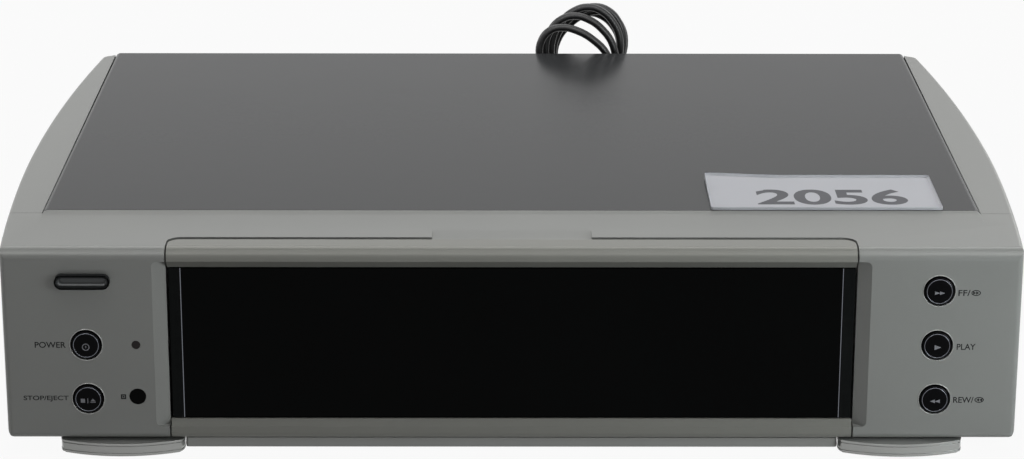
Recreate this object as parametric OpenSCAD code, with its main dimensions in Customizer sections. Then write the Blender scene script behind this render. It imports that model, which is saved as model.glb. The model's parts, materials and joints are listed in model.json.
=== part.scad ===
// Full-width video cassette recorder with a drop-down door, curved side cheeks
// and a complete cassette mechanism. Millimetres, +X to the right seen from the
// front, +Y to the back, +Z up. The origin is under the middle of the casing.

/* [Casing] */
// Width across the two front corners
casing_w = 431; // [410:1:450]
// Depth from the front face to the rear panel
casing_d = 318; // [312:1:350]
// Height of the top cover above the surface
casing_h = 94; // [92:0.5:104]
// Height of the casing's underside above the surface
ground_gap = 7; // [6.8:0.1:10]
// How far the curved sides swell past the front corners
side_bulge = 5.9; // [3:0.1:9]
// Distance of the widest place from the front face
bulge_y = 133; // [110:1:160]
// Height of the steel cover above the plastic shoulders
shoulder_drop = 1.5; // [1:0.1:3]
// Width of a cheek's shoulder beside the cover, at the front
cheek_w = 10.6; // [8:0.1:14]
// Gap between the cover and a cheek
cheek_gap = 0.5; // [0.4:0.1:1.5]
// How far the cheeks stand in from the fascia at their seam
cheek_inset = 0.9; // [0.4:0.1:1.6]
// Thickness of the cover's sheet steel
cover_t = 0.8; // [0.6:0.1:1.2]
// Bend radius along the cover's two long edges
cover_bend = 2.6; // [2:0.1:5]
// Thickness of the base tray's sheet steel
base_t = 1.2; // [1:0.1:2]
// Height of the base tray's rim
base_rim = 22; // [15:1:30]

/* [Front moulding] */
// Depth of the fascia moulding
fascia_d = 50; // [48:0.5:54]
// Wall thickness of the plastic mouldings
wall_t = 2.6; // [2.2:0.1:3.2]
// Radius of the fascia's top front edge
top_round = 5.3; // [4:0.1:5.4]
// Radius of the fascia's bottom front edge
low_round = 3; // [2.4:0.1:4]
// Radius of the fascia's upright front corners
corner_round = 3; // [2:0.1:3.5]
// Radius along the top edge of the sides
side_top_round = 1.8; // [1:0.1:2.4]
// Radius along the bottom edge of the sides
side_low_round = 4; // [2:0.1:5]
// Width of the sloping strip at each side of the door
bezel_w = 5.6; // [4:0.1:8]
// Depth of the recess in which the door's window lies
recess_d = 4; // [3:0.1:4.2]
// Half width of the finger notch behind the door's lip
notch_half = 34; // [20:1:45]
// Depth of the finger notch
notch_h = 2.2; // [1:0.1:2.4]
// Length of the finger notch's ramp
notch_d = 10.4; // [6:0.1:16]

/* [Door] */
// Width of the drop-down door
door_w = 291; // [280:1:300]
// Gap beside the door
door_gap = 0.7; // [0.5:0.05:1.2]
// How far the door's lip wraps over the top
lip_reach = 13.6; // [12:0.1:15]
// Gap behind the lip
lip_gap = 3; // [2:0.1:4]
// Thickness of the lip
lip_t = 2.2; // [1.8:0.1:3]
// Plan radius at the lip's two back corners
lip_corner = 6; // [3:0.1:8]
// Height of the band over the window
band_h = 5.5; // [5.5:0.1:7]
// Drop of the sloping face under the band
band_slope = 3.7; // [2:0.1:5]
// Height of the strip under the window
sill_h = 5.6; // [5:0.1:7]
// Rise of the sloping face above that strip
sill_slope = 2.2; // [1:0.1:3]
// Depth of the door's two rails
rail_d = 9.5; // [9:0.1:10.5]
// Distance of the door's pivot behind the front face
pivot_y = 5.4; // [5.3:0.05:5.6]
// Height of the pivot above the casing's underside
pivot_up = 6.4; // [6.2:0.05:6.6]
// Radius of the door's pivot pins
pivot_r = 1.1; // [0.9:0.05:1.2]
// Width of the strip at each end of the window
window_end = 4.7; // [3:0.1:8]
// Thickness of the window's back plate
window_t = 2; // [1.5:0.1:2.5]
// How far the pane stands out of that plate
pane_t = 0.8; // [0.4:0.1:1]

/* [Buttons] */
// Distance of the button columns from the middle
button_x = 180.5; // [174:0.5:186]
// Distance between the buttons of a column
button_pitch = 24.4; // [20:0.1:25]
// Diameter of a button
button_dia = 12.2; // [10:0.1:14]
// Gap round a button
button_gap = 0.6; // [0.3:0.05:1]
// Width of the bevel round a button's hole
button_bevel = 0.5; // [0.3:0.05:0.8]
// How far a button's dome stands out
button_dome = 1.3; // [0.6:0.1:2]
// Travel of a button
button_travel = 0.8; // [0.4:0.1:1]
// Diameter of the standby lamp
lamp_dia = 3.7; // [3:0.1:5]
// Diameter of the remote control window
ir_dia = 7.1; // [5:0.1:9]
// Distance of the lamp and the remote window from the middle
lamp_x = 159.4; // [157:0.1:161]

/* [Inner panel] */
// Thickness of the panel behind the door
panel_t = 2.5; // [2:0.1:3]
// Width of a cassette
cassette_w = 187.6; // [180:0.2:190]
// Thickness of a cassette
cassette_h = 25.1; // [23:0.1:26]
// Free space round a cassette in the slot
slot_play = 1.4; // [1:0.1:2]
// Drop from the plastic shoulders to the slot's upper edge
slot_drop = 6.3; // [6.3:0.1:8]
// Thickness of the slot's flap
flap_t = 1.5; // [1.2:0.1:2]
// Width of the display
display_w = 92; // [80:1:110]
// Height of the display
display_h = 22; // [16:1:26]
// Width of a small key behind the door
key_w = 11; // [8:0.5:13]
// Height of a small key
key_h = 5; // [4:0.5:7]
// Distance between the small keys
key_pitch = 15; // [14:0.5:18]
// Travel of a small key
key_travel = 0.6; // [0.4:0.1:0.8]

/* [Cassette mechanism] */
// Height of the deck plate's top above the casing's underside
deck_up = 32.2; // [30:0.1:32.4]
// Thickness of the deck plate
deck_t = 1.2; // [1:0.1:2]
// Half width of the deck plate
deck_half = 103; // [102:0.5:108]
// Travel of the carriage to the back
carriage_in = 50; // [40:1:52]
// Distance between the two reels
reel_gap = 92.3; // [88:0.1:94]
// Radius of a reel table
reel_r = 22; // [18:0.5:23]
// Distance of the reels in front of a loaded cassette's back edge
reel_back = 57; // [54:0.5:60]
// Radius of the reel and idler shafts
post_r = 1.6; // [1.2:0.1:2]
// Radial clearance of a wheel on its shaft
run_gap = 0.05; // [0.02:0.01:0.09]
// Diameter of the head drum
drum_dia = 62; // [58:0.5:64]
// Tilt of the head drum
drum_tilt = 6; // [4:0.5:8]
// Height of the fixed lower drum
lower_drum_h = 13; // [11:0.5:14]
// Height of the turning upper drum
upper_drum_h = 14; // [12:0.5:16]
// Radius of the capstan shaft
capstan_r = 2; // [1.5:0.1:2.5]
// Radius of the capstan motor's rotor
rotor_r = 24; // [20:0.5:26]
// Radius of the pinch roller
pinch_r = 7; // [6:0.1:8]
// Radius of a tape guide roller
guide_r = 3; // [2.5:0.1:3.5]
// Radius of the cam gear
cam_r = 18; // [16:0.5:18.5]
// Number of teeth on the cam gear
cam_teeth = 36; // [24:1:48]
// Thickness of the cam gear
cam_t = 6; // [4:0.5:7]
// Radius of the worm
worm_r = 3; // [2.5:0.1:3.2]
// Radius of the loading motor
motor_r = 8; // [7:0.1:8.2]

/* [Boards and rear] */
// Height of the main board's underside above the casing's underside
board_up = 9; // [7.5:0.1:9.5]
// Thickness of the circuit boards
board_t = 1.6; // [1.2:0.1:1.8]
// Height of the power transformer
transformer_h = 40; // [30:1:46]
// Thickness of the rear panel
rear_t = 1.2; // [1:0.1:2]
// Width of a scart socket's shell
scart_w = 47; // [46:0.1:50]
// Height of a scart socket's shell
scart_h = 16.4; // [16:0.1:18]
// Outer radius of a phono socket
phono_r = 4.15; // [4.1:0.05:4.3]
// Distance between the phono sockets
phono_pitch = 14; // [13:0.5:17]
// Outer radius of an aerial socket
aerial_r = 4.76; // [4.6:0.02:4.9]
// How far the aerial sockets stand out of the rear panel
aerial_reach = 12; // [9:0.5:14]

/* [Feet] */
// Width of a front foot
foot_w = 53.3; // [48:0.1:54]
// Distance of the front feet from the middle
foot_x = 167; // [166:0.5:172]
// How far the front feet stand out before the front face
foot_ahead = 3.7; // [2:0.1:6]
// Plan radius of a front foot's curved front
foot_bow = 63; // [50:1:90]
// Distance of a front foot's back behind the front face
foot_d = 46; // [40:1:50]
// Gap between a front foot and the casing's underside
foot_gap = 1.1; // [1.1:0.1:1.6]
// Diameter of a rear foot
rear_foot_dia = 24; // [18:0.5:30]
// Height of the chin's lower edge above the surface
chin_low = 1.5; // [1:0.1:3]
// Width of the chin between the front feet
chin_w = 277.6; // [260:0.2:278]

/* [Mains lead] */
// Diameter of the mains lead
cord_dia = 4; // [3.6:0.1:4.2]
// Number of loops in the hank
hank_loops = 6; // [4:1:6]
// Width of the hank's loops at their widest
hank_w = 54; // [44:1:58]
// Height of the hank's loops up to their waist
hank_waist = 56; // [50:1:60]
// Distance between two loops
hank_step = 4.8; // [4.7:0.05:5.2]
// Share of the width that the tie draws in at the waist
hank_pinch = 0.6; // [0.45:0.05:0.65]

/* [Hidden] */
$fn = 48;

// Small overlap for cuts that run out of a face
cut = 1;

// Casing
half_w = casing_w / 2;
cover_x = half_w - cheek_w - cheek_gap;
cheek_x = half_w - cheek_w;
side_r = bulge_y * bulge_y / (2 * side_bulge);
shoulder_z = casing_h - shoulder_drop;
floor_z = ground_gap + base_t;
inside_x = cover_x - cover_t;
rear_y = casing_d - rear_t;
cheek_corner = 5.5;

// Door
door_half = door_w / 2;
opening_half = door_half + door_gap;
opening_y = lip_reach + lip_gap;
bezel_x = opening_half + bezel_w;
band_z = shoulder_z - band_h;
window_top = band_z - band_slope;
sill_z = ground_gap + sill_h;
window_low = sill_z + sill_slope;
pivot_z = ground_gap + pivot_up;
pivot_len = 3;
window_y = recess_d + pane_t + 0.2;
window_fit = 0.15;

// Buttons
button_z = (ground_gap + shoulder_z) / 2 - button_pitch;
stem_end_y = 17.4;
switch_y = 18.6;
key_board_y = 22;

// Inner panel and cassette
panel_y = opening_y;
panel_back = panel_y + panel_t;
slot_half = cassette_w / 2 + slot_play;
slot_top = shoulder_z - slot_drop;
slot_z = slot_top - cassette_h - 1.5 * slot_play;
flap_y = panel_back + 0.4;
flap_pin_y = flap_y + flap_t / 2;
flap_pin_z = slot_top + 1.2;
flap_half = slot_half + 1.6;
key_z = ground_gap + 21.5;
key_x = 64;
front_socket_x = -118;
display_x = -20;
display_z = ground_gap + 23.5;

// Deck
deck_z = ground_gap + deck_up;
ledge_t = 0.8;
holder_wall = 1;
holder_half = cassette_w / 2 + 0.7;
holder_y = 52;
holder_d = 48;
holder_z = slot_z + 0.6;
lift = holder_z - deck_z - 0.8;
slider_x = holder_half + holder_wall + 1.2;
slider_pin = 4.6;
frame_x = slider_x + 2.2;
loaded_y = holder_y + holder_d + carriage_in;
reel_y = loaded_y - reel_back;
drum_y = loaded_y + 5 + drum_dia / 2;
tape_z = deck_z + 1.6 + cassette_h / 2;
capstan_x = 62;
capstan_y = loaded_y + 10;
pinch_x = 82;
pinch_y = loaded_y + 26;
cam_x = -67;
cam_y = drum_y + 20;
worm_y = cam_y - cam_r - worm_r - 0.3;
worm_z = deck_z + motor_r + 1;
worm_len = 14;
guide_from = [22, loaded_y - 9];
guide_to = [46, drum_y + 4];
guide_run = norm(guide_to - guide_from);
guide_dir = (guide_to - guide_from) / guide_run;
idler_r = reel_gap / 2 - reel_r - 5.15;

// Boards and rear
board_z = ground_gap + board_up;
rear_row = ground_gap + 41.5;
scart_at = [-62, -124];
phono_x = -178;
aerial_x = 128;
ribbon_plug_x = 120;
ribbon_plug_y = 74;

// Feet
foot_top = ground_gap - foot_gap;
foot_corner = 10;
rear_foot_x = half_w - 60;
rear_foot_y = casing_d - 34;

// Row frame: the origin is midway between the front feet and the aerial sockets
mid_y = (casing_d + aerial_reach - foot_ahead) / 2;

// Mains lead: the gland, the free stretch and the hank behind the casing
gland_x = 102;
gland_z = 30;
gland_len = 26;
gland_r = 5.1;
hank_x = 39;
hank_y = 326.5;
cord_r = cord_dia / 2;
hank_lean = [-0.24, -0.1, 0.03, 0.1, 0.14, 0.05];
hank_top = [108, 113, 116.5, 115.5, 112, 110];
plug_lead = 40;
tie_w = 8;
tie_t = 1.2;
tie_grip = 0.2;
// The free stretch from the gland down to the surface and along to the hank
cord_route = [
    [102, 344, 30], [102, 349, 30], [102, 356, 29.4], [102, 363, 26.4],
    [101.6, 367, 20.6], [100.6, 368, 14], [98.6, 366.4, 8], [95.4, 362, 3.6],
    [92, 355.4, 2.3], [89.2, 347.4, 2], [86.4, 339.4, 2], [82.8, 332.4, 2],
    [77, 328.2, 2], [70, 326.5, 2], [64, 326.5, 2]
];

// General shapes

module row() {
    translate([0, -mid_y, 0]) children();
}

module along_x(length) {
    translate([-length / 2, 0, 0]) rotate([90, 0, 90]) linear_extrude(length) children();
}

module along_y(length) {
    translate([0, length, 0]) rotate([90, 0, 0]) linear_extrude(length) children();
}

module block(x, y, z) {
    translate([x[0], y[0], z[0]]) cube([x[1] - x[0], y[1] - y[0], z[1] - z[0]]);
}

module both_sides() {
    children();
    mirror([1, 0, 0]) children();
}

module rod_x(r, x, y, z) {
    translate([x[0], y, z]) rotate([0, 90, 0]) cylinder(r = r, h = x[1] - x[0]);
}

module rod_y(r, x, y, z) {
    translate([x, y[1], z]) rotate([90, 0, 0]) cylinder(r = r, h = y[1] - y[0]);
}

module rod_z(r, x, y, z) {
    translate([x, y, z[0]]) cylinder(r = r, h = z[1] - z[0]);
}

module round_rect(w, h, r) {
    square([w - 2 * r, h], center = true);
    square([w, h - 2 * r], center = true);
    for (x = [-1, 1], y = [-1, 1])
        translate([x * (w / 2 - r), y * (h / 2 - r)]) circle(r);
}

// What a convex corner of radius r loses; its tip is at the origin
module corner_waste(r) {
    difference() {
        translate([-cut, -cut]) square(r + cut);
        translate([r, r]) circle(r);
    }
}

module slot_hole(length, w) {
    square([length - w, w], center = true);
    for (s = [-1, 1]) translate([s * (length - w) / 2, 0]) circle(w / 2);
}

// Casing

// Disc whose rim is the curved side of the casing, rounded above and below
module side_form(side, inset = 0) {
    r = side_r - inset;
    translate([side * (half_w + side_bulge - side_r), bulge_y, 0])
    rotate_extrude($fn = 720) {
        translate([0, ground_gap + side_low_round])
            square([r, shoulder_z - ground_gap - side_low_round - side_top_round]);
        translate([0, ground_gap]) square([r - side_low_round, side_low_round]);
        translate([0, shoulder_z - side_top_round])
            square([r - side_top_round, side_top_round]);
        translate([r - side_low_round, ground_gap + side_low_round]) circle(side_low_round);
        translate([r - side_top_round, shoulder_z - side_top_round]) circle(side_top_round);
    }
}

module base_chassis() color([0.62, 0.63, 0.62]) row() {
    half = inside_x;
    difference() {
        union() {
            block([-half, half], [fascia_d, rear_y], [ground_gap, floor_z]);
            both_sides() block([half - base_t, half], [fascia_d, rear_y],
                [floor_z, floor_z + base_rim]);
            block([-half, half], [fascia_d, fascia_d + base_t], [floor_z, floor_z + base_rim]);
        }
        for (x = [-1, 0, 1], i = [0:7])
            translate([x * 110 + 20, 110 + i * 12, ground_gap - cut])
                linear_extrude(base_t + 2 * cut) slot_hole(60, 4);
    }
    for (x = [-185, -100, 0, 100, 185], y = [70, 190, 300])
        rod_z(3.5, x, y, [floor_z, board_z]);
}

module top_cover() color([0.42, 0.42, 0.42]) row() {
    low = floor_z + 4;
    difference() {
        translate([0, fascia_d, 0]) along_y(rear_y + rear_t + cover_t - fascia_d)
            cover_outline(cover_x, casing_h, cover_bend, low);
        translate([0, fascia_d - cut, 0]) along_y(rear_y + rear_t - fascia_d + cut)
            cover_outline(inside_x, casing_h - cover_t, cover_bend - cover_t, low - cut);
        block([-cover_x - cut, cover_x + cut],
            [casing_d, casing_d + cover_t + cut], [low - cut, casing_h - 12]);
        for (x = [-1, 0, 1]) rod_y(1.8, x * 150, [casing_d - cut, casing_d + 2 * cut],
            casing_h - 6.5);
    }
}

module cover_outline(x, z, r, low) {
    translate([-x, low]) square([2 * x, z - r - low]);
    translate([-x + r, z - r]) square([2 * (x - r), r]);
    for (s = [-1, 1]) translate([s * (x - r), z - r]) circle(r);
}

// Ribs split a cheek's hollow into bays
cheek_bays = 4;
bay_pitch = (casing_d - fascia_d) / cheek_bays;

function bay_y(i) = fascia_d + wall_t + 2 + i * bay_pitch;

module cheek() {
    difference() {
        intersection() {
            side_form(1, cheek_inset);
            block([cheek_x, half_w + 20], [fascia_d + 0.3, casing_d], [0, casing_h]);
        }
        intersection() {
            side_form(1, cheek_inset + wall_t);
            for (i = [0:cheek_bays - 1])
                block([cheek_x - cut, half_w + 20],
                    [bay_y(i), bay_y(i) + bay_pitch - 2 * wall_t],
                    [ground_gap + wall_t, shoulder_z - wall_t]);
        }
        translate([side_at(casing_d, cheek_inset), casing_d, ground_gap - cut])
            rotate([0, 0, 180]) linear_extrude(casing_h) corner_waste(cheek_corner);
    }
    // Lugs that meet the cover
    for (i = [1:cheek_bays - 1])
        block([cover_x, cheek_x], [bay_y(i) - 2 * wall_t, bay_y(i)], [40, 52]);
}

function side_at(y, inset = 0) = half_w + side_bulge - side_r
    + sqrt((side_r - inset) * (side_r - inset) - (y - bulge_y) * (y - bulge_y));

module left_cheek() color([0.6, 0.61, 0.6]) row() mirror([1, 0, 0]) cheek();

module right_cheek() color([0.6, 0.61, 0.6]) row() cheek();

// Outline of the fascia from the side, y to the right and z up
module fascia_outline() {
    difference() {
        translate([0, ground_gap]) square([fascia_d, shoulder_z - ground_gap]);
        translate([0, ground_gap]) corner_waste(low_round);
        translate([0, shoulder_z]) mirror([0, 1]) corner_waste(top_round);
    }
}

module fascia() color([0.6, 0.61, 0.6]) row() {
    inner_low = ground_gap + wall_t;
    inner_top = shoulder_z - wall_t;
    bay_half = side_at(0) - wall_t - 1;
    difference() {
        intersection() {
            side_form(1);
            side_form(-1);
            along_x(2 * half_w + 60) fascia_outline();
        }
        both_sides() translate([side_at(corner_round), 0, 0]) mirror([1, 0, 0])
            linear_extrude(casing_h) corner_waste(corner_round);
        // Hollow behind the inner panel, and the two button bays
        block([-bay_half, bay_half], [opening_y, fascia_d + cut], [inner_low, inner_top]);
        both_sides() block([bezel_x + 0.6, bay_half], [wall_t, opening_y + cut],
            [inner_low, inner_top]);
        // Doorway, open above and below
        linear_extrude(casing_h) {
            translate([-opening_half, -cut]) square([2 * opening_half, opening_y - lip_corner + cut]);
            translate([-opening_half + lip_corner, 0])
                square([2 * (opening_half - lip_corner), opening_y]);
            for (s = [-1, 1]) translate([s * (opening_half - lip_corner), opening_y - lip_corner])
                circle(lip_corner);
        }
        // Sloping strips beside the door
        intersection() {
            translate([0, -cut, (sill_z + band_z) / 2]) along_y(recess_d + 2 * cut)
                round_rect(2 * bezel_x, band_z - sill_z, 2.5);
            both_sides() linear_extrude(casing_h) polygon([
                [opening_half - cut, -cut], [bezel_x + cut * bezel_w / recess_d, -cut],
                [bezel_x, 0], [opening_half, recess_d], [opening_half - cut, recess_d]]);
        }
        // Pivot holes
        both_sides() rod_x(pivot_r + run_gap,
            [opening_half - cut, door_half + pivot_len + 0.3], pivot_y, pivot_z);
        // Button holes with a bevelled rim
        for (p = button_places()) {
            rod_y(button_dia / 2 + button_gap, p[0], [-cut, wall_t + cut], p[1]);
            translate([p[0], 0, p[1]]) rotate([-90, 0, 0]) translate([0, 0, -cut])
                cylinder(r1 = button_dia / 2 + button_gap + button_bevel + cut,
                    r2 = button_dia / 2 + button_gap, h = button_bevel + cut);
        }
        rod_y(lamp_dia / 2 + run_gap, -lamp_x, [-cut, wall_t + cut], button_z + button_pitch);
        rod_y(ir_dia / 2 + run_gap, -lamp_x, [-cut, wall_t + cut], button_z + 1);
        // Ramp of the finger notch
        along_x(2 * notch_half) polygon([
            [opening_y - cut, shoulder_z - notch_h], [opening_y, shoulder_z - notch_h],
            [opening_y + notch_d, shoulder_z], [opening_y + notch_d, shoulder_z + cut],
            [opening_y - cut, shoulder_z + cut]]);
    }
    // Tongue under the finger notch
    along_x(2 * notch_half - 1) polygon([
        [lip_reach + 0.8, shoulder_z - notch_h - 2.4],
        [opening_y + 2, shoulder_z - notch_h - 2.4],
        [opening_y + 2, shoulder_z - notch_h], [lip_reach + 0.8, shoulder_z - notch_h]]);
    // Sloping lip up to the cover's front edge
    intersection() {
        along_x(2 * cover_x) polygon([
            [fascia_d - 4, shoulder_z - wall_t / 2], [fascia_d - 4, shoulder_z],
            [fascia_d - 0.8, casing_h - 0.1], [fascia_d, casing_h - 0.1],
            [fascia_d, shoulder_z - wall_t / 2]]);
        translate([0, fascia_d - 5, 0]) along_y(5)
            cover_outline(cover_x, casing_h - 0.1, cover_bend, floor_z);
    }
}

// Places of the five front buttons, x and z
function button_places() = [
    [-button_x, button_z], [-button_x, button_z + button_pitch],
    [button_x, button_z], [button_x, button_z + button_pitch],
    [button_x, button_z + 2 * button_pitch]
];

module chin() color([0.66, 0.67, 0.66]) row() {
    front = 4.6;
    difference() {
        union() {
            block([-chin_w / 2, chin_w / 2], [front, front + wall_t], [chin_low, foot_top]);
            block([-chin_w / 2, chin_w / 2], [front, opening_y + 12], [foot_top - 1.8, foot_top]);
            block([-chin_w / 2, chin_w / 2], [opening_y + 4, opening_y + 12],
                [foot_top - 1.8, ground_gap]);
        }
        both_sides() translate([chin_w / 2, front, 0]) mirror([1, 0, 0])
            linear_extrude(casing_h) corner_waste(1);
    }
}

// Door

// Outlines of the door's rails, y to the right and z up
module top_rail() {
    difference() {
        union() {
            translate([0, window_top]) square([rail_d, shoulder_z - window_top]);
            translate([top_round, shoulder_z - lip_t]) square([lip_reach - top_round, lip_t]);
        }
        translate([0, shoulder_z]) mirror([0, 1]) corner_waste(top_round);
        polygon([[-cut, window_top - cut], [recess_d, window_top - cut],
            [recess_d, window_top], [0, band_z], [-cut, band_z + cut * band_slope / recess_d]]);
    }
}

module bottom_rail() {
    difference() {
        translate([0, ground_gap]) square([rail_d, window_low - ground_gap]);
        translate([0, ground_gap]) corner_waste(low_round);
        polygon([[-cut, sill_z - cut * sill_slope / recess_d], [0, sill_z],
            [recess_d, window_low], [recess_d, window_low + cut], [-cut, window_low + cut]]);
        translate([rail_d, ground_gap]) mirror([1, 0]) corner_waste(2);
    }
}

module door_frame() color([0.6, 0.61, 0.6]) row() {
    difference() {
        union() {
            along_x(door_w) top_rail();
            along_x(door_w) bottom_rail();
            both_sides() block([door_half - 7.5, door_half],
                [window_y + window_t, rail_d], [window_low - 1, window_top + 1]);
            both_sides() rod_x(pivot_r, [door_half - 1, door_half + pivot_len],
                pivot_y, pivot_z);
        }
        both_sides() translate([door_half, lip_reach, band_z - cut]) rotate([0, 0, 180])
            linear_extrude(band_h + 2 * cut) corner_waste(lip_corner - 0.6);
    }
}

module door_window() color([0.05, 0.05, 0.06]) row() {
    half = door_half - window_fit;
    pane = half - window_end;
    low = window_low + window_fit;
    top = window_top - window_fit;
    block([-half, half], [window_y, window_y + window_t], [low, top]);
    // The pane stands out of the plate and has a bevelled edge
    intersection() {
        along_x(2 * pane) polygon([
            [window_y, low], [window_y, top], [window_y - 0.2, top],
            [window_y - pane_t, top - pane_t + 0.2],
            [window_y - pane_t, low + pane_t - 0.2], [window_y - 0.2, low]]);
        linear_extrude(casing_h) polygon([
            [-pane, window_y], [-pane, window_y - 0.2],
            [-pane + pane_t - 0.2, window_y - pane_t], [pane - pane_t + 0.2, window_y - pane_t],
            [pane, window_y - 0.2], [pane, window_y]]);
    }
}

// Front buttons: a dome in its hole, a flange behind the wall and a stem
module round_button(p) {
    r = button_dia / 2;
    back = button_dome + wall_t + button_travel + 0.4;
    translate([p[0], 0, p[1]]) rotate([-90, 0, 0]) {
        translate([0, 0, -button_dome]) rotate_extrude() polygon(concat(
            [[0, 0]],
            [for (i = [1:6]) let (s = i / 6) [r * s, button_dome * (1 - sqrt(1 - 0.86 * s * s))]],
            [[r, back], [0, back]]));
        translate([0, 0, wall_t + button_travel - 0.4]) cylinder(r = r + 1.6, h = 1.2);
        cylinder(r = 2.4, h = stem_end_y);
    }
}

module power_button() color([0.07, 0.07, 0.08]) row() round_button(button_places()[1]);

module stop_eject_button() color([0.07, 0.07, 0.08]) row() round_button(button_places()[0]);

module fast_forward_button() color([0.07, 0.07, 0.08]) row()
    round_button(button_places()[4]);

module play_button() color([0.07, 0.07, 0.08]) row() round_button(button_places()[3]);

module rewind_button() color([0.07, 0.07, 0.08]) row() round_button(button_places()[2]);

module standby_lamp() color([0.16, 0.05, 0.05]) row()
    translate([-lamp_x, 0, button_z + button_pitch]) rotate([-90, 0, 0]) {
        cylinder(r = lamp_dia / 2, h = wall_t);
        translate([0, 0, wall_t]) cylinder(r = lamp_dia / 2 + 0.8, h = 1);
        translate([0, 0, wall_t]) cylinder(r = lamp_dia / 2 - 0.4, h = key_board_y - wall_t);
    }

module remote_window() color([0.06, 0.04, 0.05]) row()
    translate([-lamp_x, 0, button_z + 1]) rotate([-90, 0, 0]) {
        cylinder(r = ir_dia / 2, h = wall_t);
        translate([0, 0, wall_t]) cylinder(r = ir_dia / 2 + 1, h = 1);
        translate([0, 0, wall_t]) cylinder(r = ir_dia / 2 - 0.8, h = key_board_y - wall_t);
    }

module key_boards() color([0.2, 0.42, 0.24]) row() {
    low = ground_gap + 6;
    both_sides() block([bezel_x + 1.6, half_w - 8], [key_board_y, key_board_y + board_t],
        [low, shoulder_z - 6]);
    for (p = button_places())
        block([p[0] - 3, p[0] + 3], [switch_y, key_board_y], [p[1] - 3, p[1] + 3]);
    // Blocks that hold the boards on the fascia's floor
    both_sides() for (x = [bezel_x + 6, half_w - 18])
        block([x, x + 6], [key_board_y + board_t, key_board_y + 12],
            [ground_gap + wall_t, low + 14]);
    // Board behind the small keys and the front sockets
    block([key_x - 12, key_x + 3 * key_pitch + 12],
        [key_board_y + 4, key_board_y + 4 + board_t], [ground_gap + 11, key_z + 9]);
    block([front_socket_x - 9, front_socket_x + 2 * phono_pitch + 9],
        [key_board_y + 4, key_board_y + 4 + board_t], [ground_gap + 11, key_z + 9]);
    for (x = [key_x - 8, key_x + 3 * key_pitch + 4, front_socket_x - 9,
              front_socket_x + 2 * phono_pitch + 5])
        block([x, x + 4], [panel_back, key_board_y + 4],
            [ground_gap + 11, ground_gap + 14]);
}

// Inner panel behind the door

module inner_panel() color([0.1, 0.1, 0.11]) row() {
    half = bezel_x - 0.4;
    low = ground_gap + wall_t;
    top = shoulder_z - wall_t - notch_h - 0.4;
    difference() {
        block([-half, half], [panel_y, panel_back], [low, top]);
        // Cassette slot with a funnel-shaped edge
        translate([0, panel_y - cut, (slot_z + slot_top) / 2]) along_y(panel_t + 2 * cut)
            round_rect(2 * slot_half, slot_top - slot_z, 2);
        along_x(2 * slot_half) polygon([
            [panel_y - cut, slot_z - 1.4 - cut], [panel_y - cut, slot_z + cut],
            [panel_y + 1.4, slot_z + cut], [panel_y + 1.4, slot_z]]);
        translate([display_x, panel_y - cut, display_z]) along_y(panel_t + 2 * cut)
            round_rect(display_w, display_h, 1.5);
        for (i = [0:3]) translate([key_x + i * key_pitch, panel_y - cut, key_z])
            along_y(panel_t + 2 * cut) round_rect(key_w + 0.6, key_h + 0.6, 1);
        for (i = [0:2]) rod_y(phono_r + 0.5, front_socket_x + i * phono_pitch,
            [panel_y - cut, panel_back + cut], key_z);
    }
    // Bearings of the flap
    both_sides() difference() {
        block([flap_half + 0.5, flap_half + 3], [panel_back, flap_pin_y + 2.6],
            [flap_pin_z - 2.6, flap_pin_z + 2.2]);
        rod_x(1 + run_gap, [flap_half - cut, flap_half + 3 + cut], flap_pin_y, flap_pin_z);
    }
}

module cassette_flap() color([0.08, 0.08, 0.09]) row() {
    low = slot_z - 1.6;
    block([-flap_half, flap_half], [flap_y, flap_y + flap_t], [low, flap_pin_z]);
    rod_x(flap_t / 2, [-flap_half, flap_half], flap_pin_y, flap_pin_z);
    both_sides() rod_x(1, [flap_half - 2, flap_half + 2.8], flap_pin_y, flap_pin_z);
    for (x = [-60, 0, 60]) block([x - 1, x + 1], [flap_y + flap_t, flap_y + flap_t + 1.2],
        [low + 3, flap_pin_z - 4]);
}

module display_tube() color([0.12, 0.2, 0.2]) row() {
    block([display_x - display_w / 2 - 4, display_x + display_w / 2 + 4],
        [panel_back, panel_back + 5], [display_z - display_h / 2 - 3, display_z + display_h / 2 + 3]);
    block([display_x - display_w / 2, display_x + display_w / 2],
        [panel_back + 5, panel_back + 5 + board_t],
        [display_z - display_h / 2 - 5, display_z + display_h / 2 + 5]);
}

module small_key(i) {
    x = key_x + i * key_pitch;
    translate([x, panel_y - 1.1, key_z]) along_y(panel_t + 1.8) round_rect(key_w, key_h, 0.8);
    block([x - key_w / 2 - 1, x + key_w / 2 + 1], [panel_back + key_travel, panel_back + key_travel + 1],
        [key_z - key_h / 2 - 1, key_z + key_h / 2 + 1]);
    rod_y(1.6, x, [panel_back, panel_back + key_travel + 2], key_z);
}

module channel_down_key() color([0.3, 0.31, 0.31]) row() small_key(0);

module channel_up_key() color([0.3, 0.31, 0.31]) row() small_key(1);

module record_key() color([0.42, 0.12, 0.1]) row() small_key(2);

module pause_key() color([0.3, 0.31, 0.31]) row() small_key(3);

// Phono socket that points to -Y from the plane y, in a wall t thick; its pin hole is blind
module phono(x, y, z, reach, back, t) {
    difference() {
        union() {
            rod_y(phono_r, x, [y - reach, y], z);
            rod_y(phono_r + 0.4, x, [y - t - 0.4, y], z);
            block([x - 5.5, x + 5.5], [y, y + back], [z - 5.5, z + 5.5]);
        }
        rod_y(1.7, x, [y - reach - cut, y + back / 2], z);
        difference() {
            rod_y(phono_r - 0.5, x, [y - reach - cut, y - 1], z);
            rod_y(phono_r - 1.1, x, [y - reach - 2 * cut, y], z);
        }
    }
}

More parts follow.
